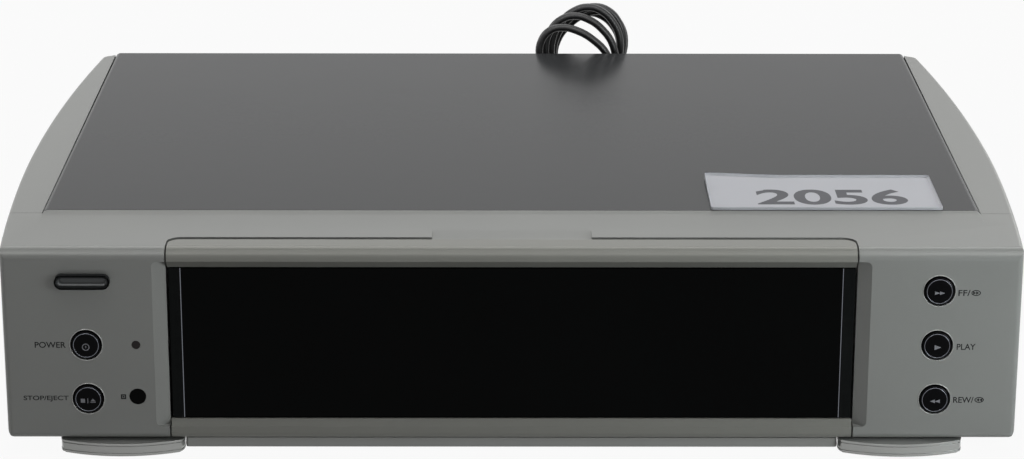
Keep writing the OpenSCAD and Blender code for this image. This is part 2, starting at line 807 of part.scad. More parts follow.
module front_sockets() color([0.75, 0.6, 0.2]) row()
    for (i = [0:2]) phono(front_socket_x + i * phono_pitch, panel_back, key_z,
        panel_t + 5, key_board_y + 4 - panel_back, panel_t);

// Rear

module rear_panel() color([0.5, 0.5, 0.5]) row() {
    difference() {
        translate([0, rear_y, 0]) along_y(rear_t)
            cover_outline(inside_x, casing_h - cover_t, cover_bend - cover_t, floor_z);
        for (x = scart_at) translate([x, rear_y - cut, rear_row]) along_y(rear_t + 2 * cut)
            scart_shell(scart_w + 0.4, scart_h + 0.4);
        for (i = [0:1], z = [-7, 7]) rod_y(phono_r + 0.6, phono_x + i * phono_pitch,
            [rear_y - cut, casing_d + cut], rear_row + z);
        for (z = [-13, 13]) rod_y(aerial_r + 1, aerial_x, [rear_y - cut, casing_d + cut],
            rear_row + z);
        rod_y(gland_r + 0.1, gland_x, [rear_y - cut, casing_d + cut], gland_z);
        for (x = [-1, 0, 1]) rod_y(1.3, x * 150, [rear_y - cut, casing_d + cut],
            casing_h - 6.5);
        // Vents beside the power supply
        for (i = [0:7]) translate([150 + i * 5.5, rear_y - cut, rear_row + 8])
            along_y(rear_t + 2 * cut) rotate(90) slot_hole(24, 2.6);
    }
}

// A scart socket: a shell with one slanting side round a block with two rows of slots
module scart_shell(w, h) {
    polygon([[-w / 2, -h / 2], [w / 2 - 4, -h / 2], [w / 2, -h / 2 + 4],
        [w / 2, h / 2], [-w / 2, h / 2]]);
}

module scart_sockets() color([0.1, 0.1, 0.1]) row()
    for (x = scart_at) translate([x, rear_y - 14, rear_row]) {
        difference() {
            along_y(16 + rear_t) scart_shell(scart_w, scart_h);
            translate([0, 6, 0]) along_y(20) scart_shell(scart_w - 2.4, scart_h - 2.4);
        }
        difference() {
            translate([0, 5, 0]) along_y(11) scart_shell(scart_w - 7, scart_h - 7);
            for (i = [0:9], s = [-1, 1])
                block([-17.5 + i * 3.6, -14.9 + i * 3.6], [9, 20], [s * 2.4 - 0.5, s * 2.4 + 0.5]);
        }
        // Body that carries the socket on the main board
        block([5.5 - scart_w / 2, scart_w / 2 - 5.5], [-4, 0],
            [board_z + board_t - rear_row, scart_h / 2]);
    }

module aerial_unit() color([0.72, 0.72, 0.7]) row() {
    y = casing_d;
    difference() {
        union() {
            block([aerial_x - 17, aerial_x + 17], [rear_y - 62, rear_y],
                [rear_row - 26, rear_row + 24]);
            for (z = [-13, 13]) {
                rod_y(aerial_r, aerial_x, [rear_y - 1, y + aerial_reach], rear_row + z);
                rod_y(aerial_r + 0.8, aerial_x, [rear_y - 1, y + 2], rear_row + z);
            }
        }
        // Female inlet above: a deep bore round a contact tube
        difference() {
            rod_y(aerial_r - 0.55, aerial_x, [y + 2, y + aerial_reach + cut], rear_row + 13);
            rod_y(1.9, aerial_x, [y, y + aerial_reach - 1.5], rear_row + 13);
        }
        rod_y(1.2, aerial_x, [y + 4, y + aerial_reach + cut], rear_row + 13);
        // Male outlet below: a centre pin in an open shell
        difference() {
            rod_y(aerial_r - 0.6, aerial_x, [y + 2, y + aerial_reach + cut], rear_row - 13);
            rod_y(1.15, aerial_x, [y, y + aerial_reach - 0.5], rear_row - 13);
        }
    }
    // Legs on the main board
    for (x = [-1, 1], b = [6, 56]) block([aerial_x + x * 15 - 1, aerial_x + x * 15 + 1],
        [rear_y - b, rear_y - b + 3], [board_z + board_t, rear_row - 26]);
}

module phono_sockets() color([0.12, 0.12, 0.12]) row() {
    for (i = [0:1], z = [-7, 7]) translate([phono_x + i * phono_pitch, rear_y, rear_row + z])
        mirror([0, 1, 0]) phono(0, 0, 0, rear_t + 8, 9, rear_t);
    block([phono_x - 5, phono_x + phono_pitch + 5], [rear_y - 12, rear_y - 9],
        [board_z + board_t, rear_row + 12]);
}

// Mains lead

function ease(t) = t * t * (3 - 2 * t);

// Point of the hank's centre line at turn number s, counted from the surface
function hank_point(s) =
    let (
        i = min(floor(s), hank_loops - 1),
        a = 360 * (s - i),
        up = -cos(a),
        tall = hank_top[i] - cord_r - hank_waist,
        z = up < 0 ? hank_waist + up * (hank_waist - cord_r) : hank_waist + up * tall,
        lean = up > 0 ? hank_lean[i] * tall * up * up : 0,
        x = -hank_w / 2 * sin(a) * (1 - hank_pinch * pow(sin(a), 6)),
        climb = a > 270 ? ease((a - 270) / 90) : 0
    )
    [hank_x + x + lean, hank_y + hank_step * (i + climb), z];

hank_rings = 24;
hank_line = concat(
    [cord_route[len(cord_route) - 1]],
    [[hank_x + 12, hank_y, cord_r]],
    [for (k = [0:hank_rings * hank_loops]) hank_point(k / hank_rings)],
    [for (k = [1:5]) let (t = k / 5)
        [hank_x - 10 - plug_lead * t, hank_y + hank_step * hank_loops,
         cord_r + (6.4 - cord_r) * ease(min(1, t * 1.2))]],
    [[hank_x - 14 - plug_lead, hank_y + hank_step * hank_loops, 6.4]]
);

// Least distance between stretches of the hank that don't follow each other
hank_gap = min([
    for (i = [0:len(hank_line) - 1])
        for (j = [i + 5:1:len(hank_line) - 1]) norm(hank_line[i] - hank_line[j])
]) - cord_dia;
echo(str("least gap of the hank to itself: ", hank_gap, " mm"));

function unit(v) = v / norm(v);

function tangent(line, i) = unit(line[min(i + 1, len(line) - 1)] - line[max(i - 1, 0)]);

// Tube along a line; across is a direction that the line never follows
module tube(line, r, sides, across) {
    points = [
        for (i = [0:len(line) - 1])
            let (
                t = tangent(line, i),
                u = unit(cross(t, across)),
                v = cross(t, u)
            )
            for (k = [0:sides - 1])
                let (a = 360 * (k + 0.5) / sides)
                line[i] + r * (u * cos(a) + v * sin(a))
    ];
    last = (len(line) - 1) * sides;
    faces = concat(
        [[for (k = [0:sides - 1]) k]],
        [[for (k = [sides - 1:-1:0]) last + k]],
        [for (i = [0:len(line) - 2], k = [0:sides - 1])
            let (a = i * sides + k, b = i * sides + (k + 1) % sides)
            [a, a + sides, b]],
        [for (i = [0:len(line) - 2], k = [0:sides - 1])
            let (a = i * sides + k, b = i * sides + (k + 1) % sides)
            [b, a + sides, b + sides]]
    );
    polyhedron(points, faces, convexity = 10);
}

module mains_cord() color([0.06, 0.06, 0.06]) row() tube(cord_route, cord_r, 8, [1, 0.35, -0.8]);

module cord_hank() color([0.06, 0.06, 0.06]) row() tube(hank_line, cord_r, 6, [0, 1, 0]);

module cord_tie() color([0.12, 0.12, 0.12]) row() {
    // It grips the bundle, whose runs are six-sided
    deep = hank_step * (hank_loops - 1) + cord_dia - tie_grip;
    wide = hank_w * (1 - hank_pinch) + cord_dia * cos(30) - tie_grip;
    translate([hank_x, hank_y + hank_step * (hank_loops - 1) / 2, hank_waist - tie_w / 2])
        linear_extrude(tie_w) difference() {
            round_rect(wide + 2 * tie_t, deep + 2 * tie_t, cord_r + tie_t);
            round_rect(wide, deep, cord_r);
        }
}

module cord_gland() color([0.08, 0.08, 0.08]) row()
    translate([gland_x, casing_d, gland_z]) rotate([-90, 0, 0]) {
        translate([0, 0, -rear_t - 4]) cylinder(r = gland_r, h = rear_t + 4.1);
        translate([0, 0, -rear_t - 4]) cylinder(r = gland_r + 1.3, h = 4);
        cylinder(r = gland_r + 1.5, h = 2);
        translate([0, 0, 2]) cylinder(r1 = gland_r - 0.5, r2 = cord_r + 0.9, h = gland_len - 2);
        for (i = [0:3]) translate([0, 0, 5 + i * 5])
            cylinder(r = gland_r - 0.5 - i * 0.4, h = 2.4);
        // Stretch of the lead inside the casing
        translate([0, 0, -rear_t - 12]) cylinder(r = cord_r, h = 9);
    }

module plug_body() color([0.07, 0.07, 0.07]) row()
    translate([hank_x - 14 - plug_lead, hank_y + hank_step * hank_loops, 6.4])
    rotate([0, -90, 0]) {
        cylinder(r1 = cord_r + 0.8, r2 = 4, h = 10);
        translate([0, 0, 9]) intersection() {
            linear_extrude(26) round_rect(12.8, 26, 4);
            rotate([90, 0, 0]) translate([0, 0, -20]) linear_extrude(40) polygon([
                [-6.4, 6], [-4, 0], [4, 0], [6.4, 6], [6.4, 26], [-6.4, 26]]);
            rotate([0, 90, 0]) translate([0, 0, -20]) linear_extrude(40) polygon([
                [0, -6], [-10, -13], [-26, -11], [-26, 11], [-10, 13], [0, 6]]);
        }
    }

module plug_pins() color([0.8, 0.68, 0.4]) row()
    translate([hank_x - 14 - plug_lead - 35, hank_y + hank_step * hank_loops, 6.4])
    rotate([0, -90, 0]) for (s = [-1, 1]) translate([0, s * 9.3, 0]) {
        cylinder(r = 2, h = 17);
        translate([0, 0, 17]) sphere(r = 2);
    }

// Cassette mechanism

module deck_plate() color([0.74, 0.74, 0.72]) row() {
    difference() {
        block([-deck_half, deck_half], [40, drum_y + 52], [deck_z - deck_t, deck_z]);
        rod_z(drum_dia / 2 - 6, 0, drum_y, [deck_z - deck_t - cut, deck_z + cut]);
        rod_z(6.2, capstan_x, capstan_y, [deck_z - deck_t - cut, deck_z + cut]);
        // Curved tracks of the tape guides
        for (s = [-1, 1]) translate([s * (guide_from[0] + guide_to[0]) / 2,
                (guide_from[1] + guide_to[1]) / 2, deck_z - deck_t - cut])
            rotate(90 - s * atan2(guide_dir[0], guide_dir[1]))
            linear_extrude(deck_t + 2 * cut) slot_hole(guide_run + 5, 4);
    }
    // Turned-down rims and legs on the base
    both_sides() block([deck_half - deck_t, deck_half], [40, drum_y + 52],
        [deck_z - 7, deck_z - deck_t]);
    for (x = [-1, 1], y = [46, drum_y + 46])
        rod_z(4, x * (deck_half - 6), y, [board_z + board_t, deck_z - deck_t]);
}

module deck_posts() color([0.8, 0.8, 0.8]) row() {
    for (s = [-1, 1]) {
        rod_z(post_r, s * reel_gap / 2, reel_y, [deck_z, deck_z + 9]);
        rod_z(3, s * reel_gap / 2, reel_y, [deck_z, deck_z + 1]);
        // Fixed tape guides beside the cassette's mouth
        rod_z(2, s * 89, loaded_y + 5.5, [deck_z, tape_z + 9]);
        rod_z(3.4, s * 89, loaded_y + 5.5, [tape_z + 7, tape_z + 8]);
        rod_z(3.4, s * 89, loaded_y + 5.5, [tape_z - 8, tape_z - 7]);
    }
    rod_z(post_r, 0, reel_y - 24, [deck_z, deck_z + 7]);
    rod_z(3, 0, reel_y - 24, [deck_z, deck_z + 1]);
    rod_z(post_r, pinch_x, pinch_y, [deck_z, deck_z + 14]);
    rod_z(3, pinch_x, pinch_y, [deck_z, deck_z + 1]);
    rod_z(post_r, cam_x, cam_y, [deck_z, worm_z + cam_t / 2 + 3]);
    rod_z(5, cam_x, cam_y, [deck_z, worm_z - cam_t / 2 - 0.3]);
    // Post with the lamp that finds the end of the tape
    rod_z(2.3, 0, loaded_y - 14, [deck_z, deck_z + 20]);
}

module drum_place() {
    translate([0, drum_y, deck_z]) rotate([-drum_tilt, 0, 0]) children();
}

module lower_drum() color([0.8, 0.81, 0.82]) row() {
    drum_place() {
        difference() {
            translate([0, 0, 5]) cylinder(r = drum_dia / 2, h = lower_drum_h, $fn = 96);
            translate([0, 0, 5 + lower_drum_h - 2]) cylinder(r = 14, h = 3);
        }
        // Spiral edge that carries the tape
        translate([0, 0, 5]) difference() {
            cylinder(r = drum_dia / 2 + 0.6, h = 2.2, $fn = 96);
            translate([0, 0, -cut]) cylinder(r = drum_dia / 2 - 1, h = 4.2, $fn = 96);
        }
        // Shaft that the upper drum turns on
        translate([0, 0, 4 + lower_drum_h - 2]) cylinder(r = 2.5, h = upper_drum_h + 4);
    }
    // Base casting on the deck
    difference() {
        union() {
            for (s = [-1, 1]) translate([s * 22, drum_y + 14, deck_z]) cylinder(r = 6, h = 9);
            translate([0, drum_y - 20, deck_z]) cylinder(r = 5, h = 9);
        }
        drum_place() translate([0, 0, 5]) cylinder(r = drum_dia / 2 + 2, h = 30);
    }
}

module upper_drum() color([0.84, 0.85, 0.86]) row() drum_place()
    translate([0, 0, 5 + lower_drum_h + 0.4]) difference() {
        union() {
            cylinder(r = drum_dia / 2, h = upper_drum_h, $fn = 96);
            translate([0, 0, upper_drum_h]) cylinder(r = 12, h = 2);
        }
        translate([0, 0, -cut]) cylinder(r = 2.5 + run_gap, h = upper_drum_h + 6);
        translate([0, 0, upper_drum_h - 3]) difference() {
            cylinder(r = drum_dia / 2 - 3, h = 4);
            translate([0, 0, -cut]) cylinder(r = 14, h = 7);
        }
        // Windows for the video heads
        for (i = [0:5]) rotate(i * 60) translate([drum_dia / 2 - 2, -1.5, -cut])
            cube([4, 3, cut + 2]);
    }

module capstan_motor() color([0.6, 0.6, 0.58]) row() {
    low = deck_z - deck_t;
    difference() {
        union() {
            rod_z(6, capstan_x, capstan_y, [low - 3, deck_z + 5]);
            block([capstan_x - 14, capstan_x + 20], [capstan_y - 20, capstan_y + 20],
                [low - 3, low]);
        }
        rod_z(capstan_r + run_gap, capstan_x, capstan_y, [low - 4, deck_z + 6]);
    }
}

module capstan() color([0.66, 0.67, 0.68]) row() {
    low = deck_z - deck_t - 3;
    rod_z(capstan_r, capstan_x, capstan_y, [low - 9, tape_z + 11]);
    difference() {
        rod_z(rotor_r, capstan_x, capstan_y, [low - 8, low - 0.6]);
        rod_z(rotor_r - 2, capstan_x, capstan_y, [low - 7, low]);
    }
    rod_z(5, capstan_x, capstan_y, [low - 8, low - 0.6]);
}

// The pinch roller's arm, seen from above; it swings towards the capstan
pinch_from = [capstan_x + 15.6, capstan_y - 2];

module pinch_arm() color([0.72, 0.72, 0.7]) row() {
    z = deck_z + 6;
    way = pinch_from - [pinch_x, pinch_y];
    difference() {
        translate([pinch_x, pinch_y, z]) rotate(atan2(way[1], way[0])) {
            cylinder(r = 4, h = 7);
            translate([0, -2.5, 0]) cube([norm(way), 5, 1.4]);
            translate([norm(way), 0, 0]) cylinder(r = 3.4, h = 1.4);
            translate([norm(way), 0, 0]) cylinder(r = 1.5, h = 17);
        }
        rod_z(post_r + run_gap, pinch_x, pinch_y, [z - cut, z + 8]);
    }
}

module pinch_roller() color([0.1, 0.1, 0.1]) row() difference() {
    rod_z(pinch_r, pinch_from[0], pinch_from[1], [deck_z + 7.8, deck_z + 22]);
    rod_z(1.5 + run_gap, pinch_from[0], pinch_from[1], [deck_z + 7, deck_z + 23]);
}

module reel(s) {
    x = s * reel_gap / 2;
    difference() {
        union() {
            rod_z(reel_r, x, reel_y, [deck_z + 1.2, deck_z + 4]);
            rod_z(reel_r - 3, x, reel_y, [deck_z + 1.1, deck_z + 5]);
            rod_z(7, x, reel_y, [deck_z + 4, deck_z + 8]);
            rod_z(4.4, x, reel_y, [deck_z + 8, deck_z + 18]);
            // Three fins that drive the cassette's hub
            for (a = [0:120:240]) translate([x, reel_y, deck_z + 8]) rotate(a)
                translate([0, -1, 0]) cube([6.2, 2, 8]);
        }
        rod_z(post_r + run_gap, x, reel_y, [deck_z, deck_z + 9.4]);
    }
}

module supply_reel() color([0.86, 0.86, 0.84]) row() reel(-1);

module take_up_reel() color([0.86, 0.86, 0.84]) row() reel(1);

// A tape guide: a foot in its track, a roller and a slanting pin
module tape_guide(s) {
    x = s * guide_from[0];
    y = guide_from[1];
    rod_z(1.9, x, y, [deck_z - deck_t - 1.4, deck_z + 0.2]);
    rod_z(4, x, y, [deck_z - deck_t - 2.4, deck_z - deck_t - 0.2]);
    rod_z(5, x, y, [deck_z + 0.2, deck_z + 3.4]);
    rod_z(guide_r, x, y, [deck_z + 3.4, tape_z + 7]);
    rod_z(guide_r + 1.2, x, y, [tape_z - 8.4, tape_z - 7]);
    rod_z(guide_r + 1.2, x, y, [tape_z + 6.6, tape_z + 8]);
}

module supply_guide() color([0.7, 0.6, 0.35]) row() tape_guide(-1);

module take_up_guide() color([0.7, 0.6, 0.35]) row() tape_guide(1);

module erase_head() color([0.5, 0.5, 0.5]) row() {
    x = -62;
    y = loaded_y + 16;
    rod_z(3, x, y + 6, [deck_z, tape_z - 8]);
    block([x - 7, x + 7], [y - 1, y + 10], [tape_z - 8, tape_z - 7]);
    block([x - 6, x + 6], [y, y + 9], [tape_z - 7, tape_z + 7]);
}

module audio_head() color([0.5, 0.5, 0.5]) row() {
    x = 58;
    y = loaded_y + 27;
    rod_z(3, x + 4, y + 8, [deck_z, tape_z - 8]);
    block([x - 7, x + 8], [y - 1, y + 12], [tape_z - 8, tape_z - 7]);
    block([x - 6, x + 6], [y, y + 10], [tape_z - 7, tape_z + 7]);
}

module loading_motor() color([0.6, 0.6, 0.6]) row() {
    x = cam_x - worm_len / 2 - 7.5;
    difference() {
        rod_x(motor_r, [x - 21, x], worm_y, worm_z);
        rod_x(1 + run_gap, [x - 12, x + cut], worm_y, worm_z);
    }
    block([x - 21, x - 19], [worm_y - 7, worm_y + 7], [deck_z, worm_z - motor_r + 2]);
    block([x - 6, x - 4], [worm_y - 7, worm_y + 7], [deck_z, worm_z - motor_r + 2]);
}

module worm() color([0.88, 0.88, 0.85]) row() {
    x = cam_x - worm_len / 2;
    rod_x(1, [x - 12, x + worm_len + 1], worm_y, worm_z);
    rod_x(worm_r - 1, [x, x + worm_len], worm_y, worm_z);
    for (i = [0:6]) rod_x(worm_r, [x + i * 2 + 0.4, x + i * 2 + 1.4], worm_y, worm_z);
}

module toothed(r, teeth) {
    polygon([
        for (i = [0:teeth - 1], p = [[-0.28, -1], [-0.14, 0], [0.14, 0], [0.28, -1]])
            let (a = (i + p[0]) * 360 / teeth, q = r + p[1] * 1.6)
            [q * cos(a), q * sin(a)]
    ]);
}

module cam_gear() color([0.9, 0.9, 0.86]) row()
    translate([cam_x, cam_y, worm_z - cam_t / 2]) difference() {
        union() {
            linear_extrude(cam_t) toothed(cam_r, cam_teeth);
            cylinder(r = 6, h = cam_t + 2);
        }
        translate([0, 0, -cut]) cylinder(r = post_r + run_gap, h = cam_t + 4);
        // Cam groove
        translate([2, 0, cam_t - 2]) difference() {
            cylinder(r = cam_r - 5, h = 3);
            translate([0, 0, -cut]) cylinder(r = cam_r - 8, h = 5);
        }
    }

module idler_arm() color([0.78, 0.78, 0.74]) row() {
    difference() {
        union() {
            rod_z(4.2, 0, reel_y - 24, [deck_z + 1.2, deck_z + 6]);
            block([-3, 3], [reel_y - 24, reel_y], [deck_z + 4.4, deck_z + 5.6]);
            rod_z(idler_r, 0, reel_y, [deck_z + 1.2, deck_z + 4.4]);
            rod_z(3, 0, reel_y, [deck_z + 4.4, deck_z + 6]);
        }
        rod_z(post_r + run_gap, 0, reel_y - 24, [deck_z, deck_z + 7]);
    }
}

module carriage_frame() color([0.7, 0.7, 0.68]) row() {
    y0 = 42;
    y1 = loaded_y + 4;
    top = holder_z + cassette_h + 5;
    both_sides() difference() {
        block([frame_x, frame_x + deck_t], [y0, y1], [deck_z, top]);
        for (z = [deck_z + 12, top - 6]) translate([frame_x - cut, 0, z])
            rotate([90, 0, 90]) linear_extrude(deck_t + 2 * cut)
            translate([holder_y + (holder_d + carriage_in) / 2, 0])
            slot_hole(carriage_in + 2 * slider_pin + 4.2, 3.2);
        // Lightening holes
        for (i = [0:2]) translate([frame_x - cut, y0 + 24 + i * 30, (deck_z + top) / 2])
            rotate([90, 0, 90]) linear_extrude(deck_t + 2 * cut) slot_hole(20, 9);
    }
    // Cross bar, and feet on the deck
    block([-frame_x, frame_x], [y1 - 16, y1], [top - deck_t, top]);
}

module load_slider() color([0.75, 0.75, 0.72]) row() {
    y = holder_y + holder_d / 2;
    top = holder_z + cassette_h + 5;
    both_sides() {
        difference() {
            block([slider_x, slider_x + 1], [y - 7, y + 7], [deck_z + 1, top - 2]);
            translate([slider_x - cut, y, holder_z + 8 - lift / 2])
                rotate([90, 0, 90]) linear_extrude(1 + 2 * cut) rotate(90)
                slot_hole(lift + 4, 3.3);
        }
        for (z = [deck_z + 12, top - 6], p = [-slider_pin, slider_pin])
            rod_x(1.5, [slider_x + 1, frame_x + deck_t + 1], y + p, z);
    }
}

module cassette_holder() color([0.76, 0.76, 0.74]) row() {
    y0 = holder_y;
    y1 = holder_y + holder_d;
    low = holder_z - ledge_t;
    top = holder_z + cassette_h + 0.6;
    both_sides() {
        block([holder_half, holder_half + holder_wall], [y0, y1], [low, top + 1]);
        block([holder_half - 14, holder_half], [y0, y1], [low, holder_z]);
        rod_x(1.5, [holder_half + holder_wall, slider_x + 1], (y0 + y1) / 2, holder_z + 8);
    }
    difference() {
        block([-holder_half, holder_half], [y0, y1], [top, top + 1]);
        for (x = [-60, 0, 60]) translate([x, (y0 + y1) / 2, top - cut])
            linear_extrude(1 + 2 * cut) round_rect(40, 24, 4);
    }
    // Stops that the cassette's leading edge meets
    both_sides() block([holder_half - 10, holder_half - 2], [y1 - 1, y1], [holder_z, holder_z + 6]);
}

// Electronics

module main_board() color([0.28, 0.5, 0.3]) row() {
    z = board_z + board_t;
    block([-inside_x + 4, inside_x - 4], [fascia_d + 4, rear_y - 1], [board_z, z]);
    // Integrated circuits
    for (p = [[-150, 90, 24], [-150, 130, 18], [-158, 180, 30], [150, 90, 26], [140, 130, 16],
              [-20, 270, 34], [30, 285, 20], [-40, 60, 22], [60, 60, 18]])
        block([p[0] - p[2] / 2, p[0] + p[2] / 2], [p[1] - 7, p[1] + 7], [z, z + 3.4]);
    // Electrolytic capacitors
    for (i = [0:6]) rod_z(3.2 + (i % 3), -182 + i * 9 + (i % 2) * 3, 225 + (i % 2) * 14, [z, z + 12]);
    for (i = [0:3]) rod_z(4, 64 + i * 11, 262 + (i % 2) * 12, [z, z + 14]);
    // Plugs of the ribbon cables
    for (s = [-1, 1]) block([s * ribbon_plug_x - 12, s * ribbon_plug_x + 12],
        [ribbon_plug_y, ribbon_plug_y + 6], [z, z + 8]);
}

module power_supply() color([0.75, 0.7, 0.5]) row() {
    z = board_z + board_t;
    x = 168;
    // Transformer on the board, with its winding between two end plates
    block([x - 22, x + 22], [196, 234], [z, z + 4]);
    block([x - 22, x + 22], [196, 234], [z + transformer_h - 4, z + transformer_h]);
    block([x - 9, x + 9], [200, 230], [z + 4, z + transformer_h - 4]);
    block([x - 20, x - 12], [198, 232], [z + 4, z + transformer_h - 4]);
    block([x + 12, x + 20], [198, 232], [z + 4, z + transformer_h - 4]);
    // Reservoir capacitor, heat sink and fuse
    rod_z(9, x - 10, 254, [z, z + 32]);
    block([x + 10, x + 13], [242, 286], [z, z + 36]);
    for (i = [0:5]) block([x + 13, x + 22], [243 + i * 8, 244.5 + i * 8], [z, z + 36]);
    rod_x(2.8, [x - 20, x + 2], 284, z + 4.4);
    for (f = [-20, -1]) block([x + f, x + f + 3], [281, 287], [z, z + 3]);
}

// Feet and screws

// Plan of a front foot, drawn in by inset; its front is a shallow arc
module foot_outline(inset) {
    intersection() {
        translate([0, foot_bow - foot_ahead]) circle(foot_bow - inset);
        translate([0, (foot_d - foot_ahead) / 2])
            round_rect(foot_w - 2 * inset, foot_d + foot_ahead - 2 * inset, foot_corner);
    }
}

// Heights and insets of a front foot's bands, from the surface up
foot_bands = [
    [0, 0.7, 0.8], [0.7, 1.4, 0], [1.4, 1.7, 0.5], [1.7, 4.6, 0.1], [4.6, 5, 0.6],
    [5, foot_top, 0]
];

module front_feet() color([0.66, 0.67, 0.66]) row()
    both_sides() translate([foot_x, 0, 0]) {
        for (b = foot_bands) translate([0, 0, b[0]]) linear_extrude(b[1] - b[0])
            foot_outline(b[2]);
        rod_z(16, 0, foot_d / 2, [0, ground_gap]);
    }

module rear_feet() color([0.12, 0.12, 0.12]) row()
    both_sides() translate([rear_foot_x, rear_foot_y, 0])
        rotate_extrude() polygon([
            [0, 0], [rear_foot_dia / 2 - 1, 0], [rear_foot_dia / 2, 1],
            [rear_foot_dia / 2 - 1, ground_gap], [0, ground_gap]]);

module screw(r, head_r, reach) {
    difference() {
        cylinder(r = head_r, h = 1.8);
        for (a = [0, 90]) rotate(a) translate([-head_r * 0.6, -0.4, 0.8])
            cube([head_r * 1.2, 0.8, 2]);
    }
    translate([0, 0, -reach]) cylinder(r = r, h = reach);
}

module screws() color([0.55, 0.55, 0.55]) row() {
    for (x = [-1, 0, 1]) translate([x * 150, casing_d + cover_t, casing_h - 6.5])
        rotate([-90, 0, 0]) screw(1.3, 3.2, cover_t + rear_t + 5);
}

base_chassis();
top_cover();
left_cheek();
right_cheek();
fascia();
chin();
door_frame();
door_window();
inner_panel();
cassette_flap();
power_button();
stop_eject_button();
fast_forward_button();
play_button();
rewind_button();
standby_lamp();
remote_window();
display_tube();
key_boards();
channel_down_key();
channel_up_key();
record_key();
pause_key();
front_sockets();
rear_panel();
scart_sockets();
aerial_unit();
phono_sockets();
cord_gland();
mains_cord();
cord_hank();
cord_tie();
plug_body();
plug_pins();
deck_plate();
deck_posts();
lower_drum();
upper_drum();
capstan_motor();
capstan();
pinch_arm();
pinch_roller();
supply_reel();
take_up_reel();
supply_guide();
take_up_guide();
erase_head();
audio_head();
loading_motor();
worm();
cam_gear();
idler_arm();
carriage_frame();
load_slider();
cassette_holder();
main_board();
power_supply();
front_feet();
rear_feet();
screws();
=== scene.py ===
# %% [markdown]
# A video cassette recorder
#
# This lesson dresses a recorder whose mechanical parts come from an engineering model. That model gives
# every casing, button, hinge and wheel its size and place. What is left for Blender is how things look:
# soft edges, lacquer, printed lettering, the curve of the mains lead and the light. Blender works in metres
# here, and sizes typed in millimetres are multiplied by MM. +X is to the right seen from the front, +Y to
# the back and +Z up.

# %% Load the fixed model
import json
import math

import bpy
from mathutils import Matrix, Vector


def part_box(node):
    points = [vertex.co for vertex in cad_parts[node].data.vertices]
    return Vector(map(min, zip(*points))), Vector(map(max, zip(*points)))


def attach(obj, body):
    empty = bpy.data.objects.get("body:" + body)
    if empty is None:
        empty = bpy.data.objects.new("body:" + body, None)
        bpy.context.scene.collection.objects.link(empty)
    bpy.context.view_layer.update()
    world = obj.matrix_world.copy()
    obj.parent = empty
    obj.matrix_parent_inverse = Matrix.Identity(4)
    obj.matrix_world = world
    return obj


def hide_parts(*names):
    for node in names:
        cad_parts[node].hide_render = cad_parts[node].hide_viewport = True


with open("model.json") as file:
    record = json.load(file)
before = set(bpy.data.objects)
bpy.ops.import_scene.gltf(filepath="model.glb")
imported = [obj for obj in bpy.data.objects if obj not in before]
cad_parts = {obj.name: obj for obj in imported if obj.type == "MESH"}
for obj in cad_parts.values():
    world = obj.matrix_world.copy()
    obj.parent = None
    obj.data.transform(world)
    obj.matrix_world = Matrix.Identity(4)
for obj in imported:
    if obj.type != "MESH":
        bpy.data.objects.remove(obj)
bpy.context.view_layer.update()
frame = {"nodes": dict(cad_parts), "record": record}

MM = 0.001
front_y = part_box("fascia")[0].y
cover_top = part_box("top_cover")[1].z
print("recorder front at", round(front_y, 5), "and cover top at", round(cover_top, 4))

# %% [markdown]
# The camera comes first, because the view decides how fine each piece has to be. A low tripod in front of
# the recorder with a long lens gives the calm, nearly parallel lines of a catalogue picture. Moving closer
# with a wide lens would also fill the frame, but the front would swell and the back would shrink.

# %% Camera
CAMERA_BACK = 1221.2 * MM
CAMERA_LEFT = 4.8 * MM
CAMERA_HEIGHT = 497.2 * MM
LOOK_DOWN = 17.96
ROLL = 0.119
LENS_MM = 107.7

turn = Matrix.Rotation(-math.atan(CAMERA_LEFT / CAMERA_BACK), 4, "Z")
nod = Matrix.Rotation(math.radians(90 - LOOK_DOWN), 4, "X")
roll = Matrix.Rotation(math.radians(ROLL), 4, "Z")
bpy.ops.object.camera_add(
    location=(-CAMERA_LEFT, front_y - CAMERA_BACK, CAMERA_HEIGHT), rotation=(turn @ nod @ roll).to_euler()
)
camera = bpy.context.object
camera.name = "studio_camera"
camera.data.lens = LENS_MM
camera.data.sensor_width = 36
camera.data.clip_start = 0.05
bpy.context.scene.camera = camera
print("camera stands", round(CAMERA_BACK, 3), "m in front of the recorder")

# %% [markdown]
# Every material here is a Principled BSDF. The shader's plain numbers, such as how metallic a lacquer is,
# are typed on the shader itself. What changes from place to place, such as the grain of a moulding or the
# blotches that handling leaves, comes from one node group that all materials share. A painted image could
# do the same, but every piece would have to be unwrapped for it. The group reads object coordinates, so a
# pattern stays put on its piece and has a true size in metres.

# %% Shared surface group
GRAIN_SHARE = 0.35
BLOTCH_SHARE = 0.65


def socket(group, name, kind, value=None, output=False):
    """Adds an input or an output to a node group."""
    made = group.interface.new_socket(
        name=name, in_out="OUTPUT" if output else "INPUT", socket_type=kind
    )
    if value is not None:
        made.default_value = value


def calculate(tree, operation, *values):
    """The result of a Math node that takes numbers or the outputs of other nodes."""
    node = tree.nodes.new("ShaderNodeMath")
    node.operation = operation
    for entry, value in zip(node.inputs, values):
        if isinstance(value, bpy.types.NodeSocket):
            tree.links.new(value, entry)
        else:
            entry.default_value = value
    return node.outputs[0]


def noise(tree, given, scale, detail, roughness=0.5):
    """A noise on object coordinates, as fine as one of the group's inputs says."""
    place = tree.nodes.new("ShaderNodeTexCoord")
    texture = tree.nodes.new("ShaderNodeTexNoise")
    texture.inputs["Detail"].default_value = detail
    texture.inputs["Roughness"].default_value = roughness
    tree.links.new(place.outputs["Object"], texture.inputs["Vector"])
    tree.links.new(given.outputs[scale], texture.inputs["Scale"])
    return texture.outputs[0]


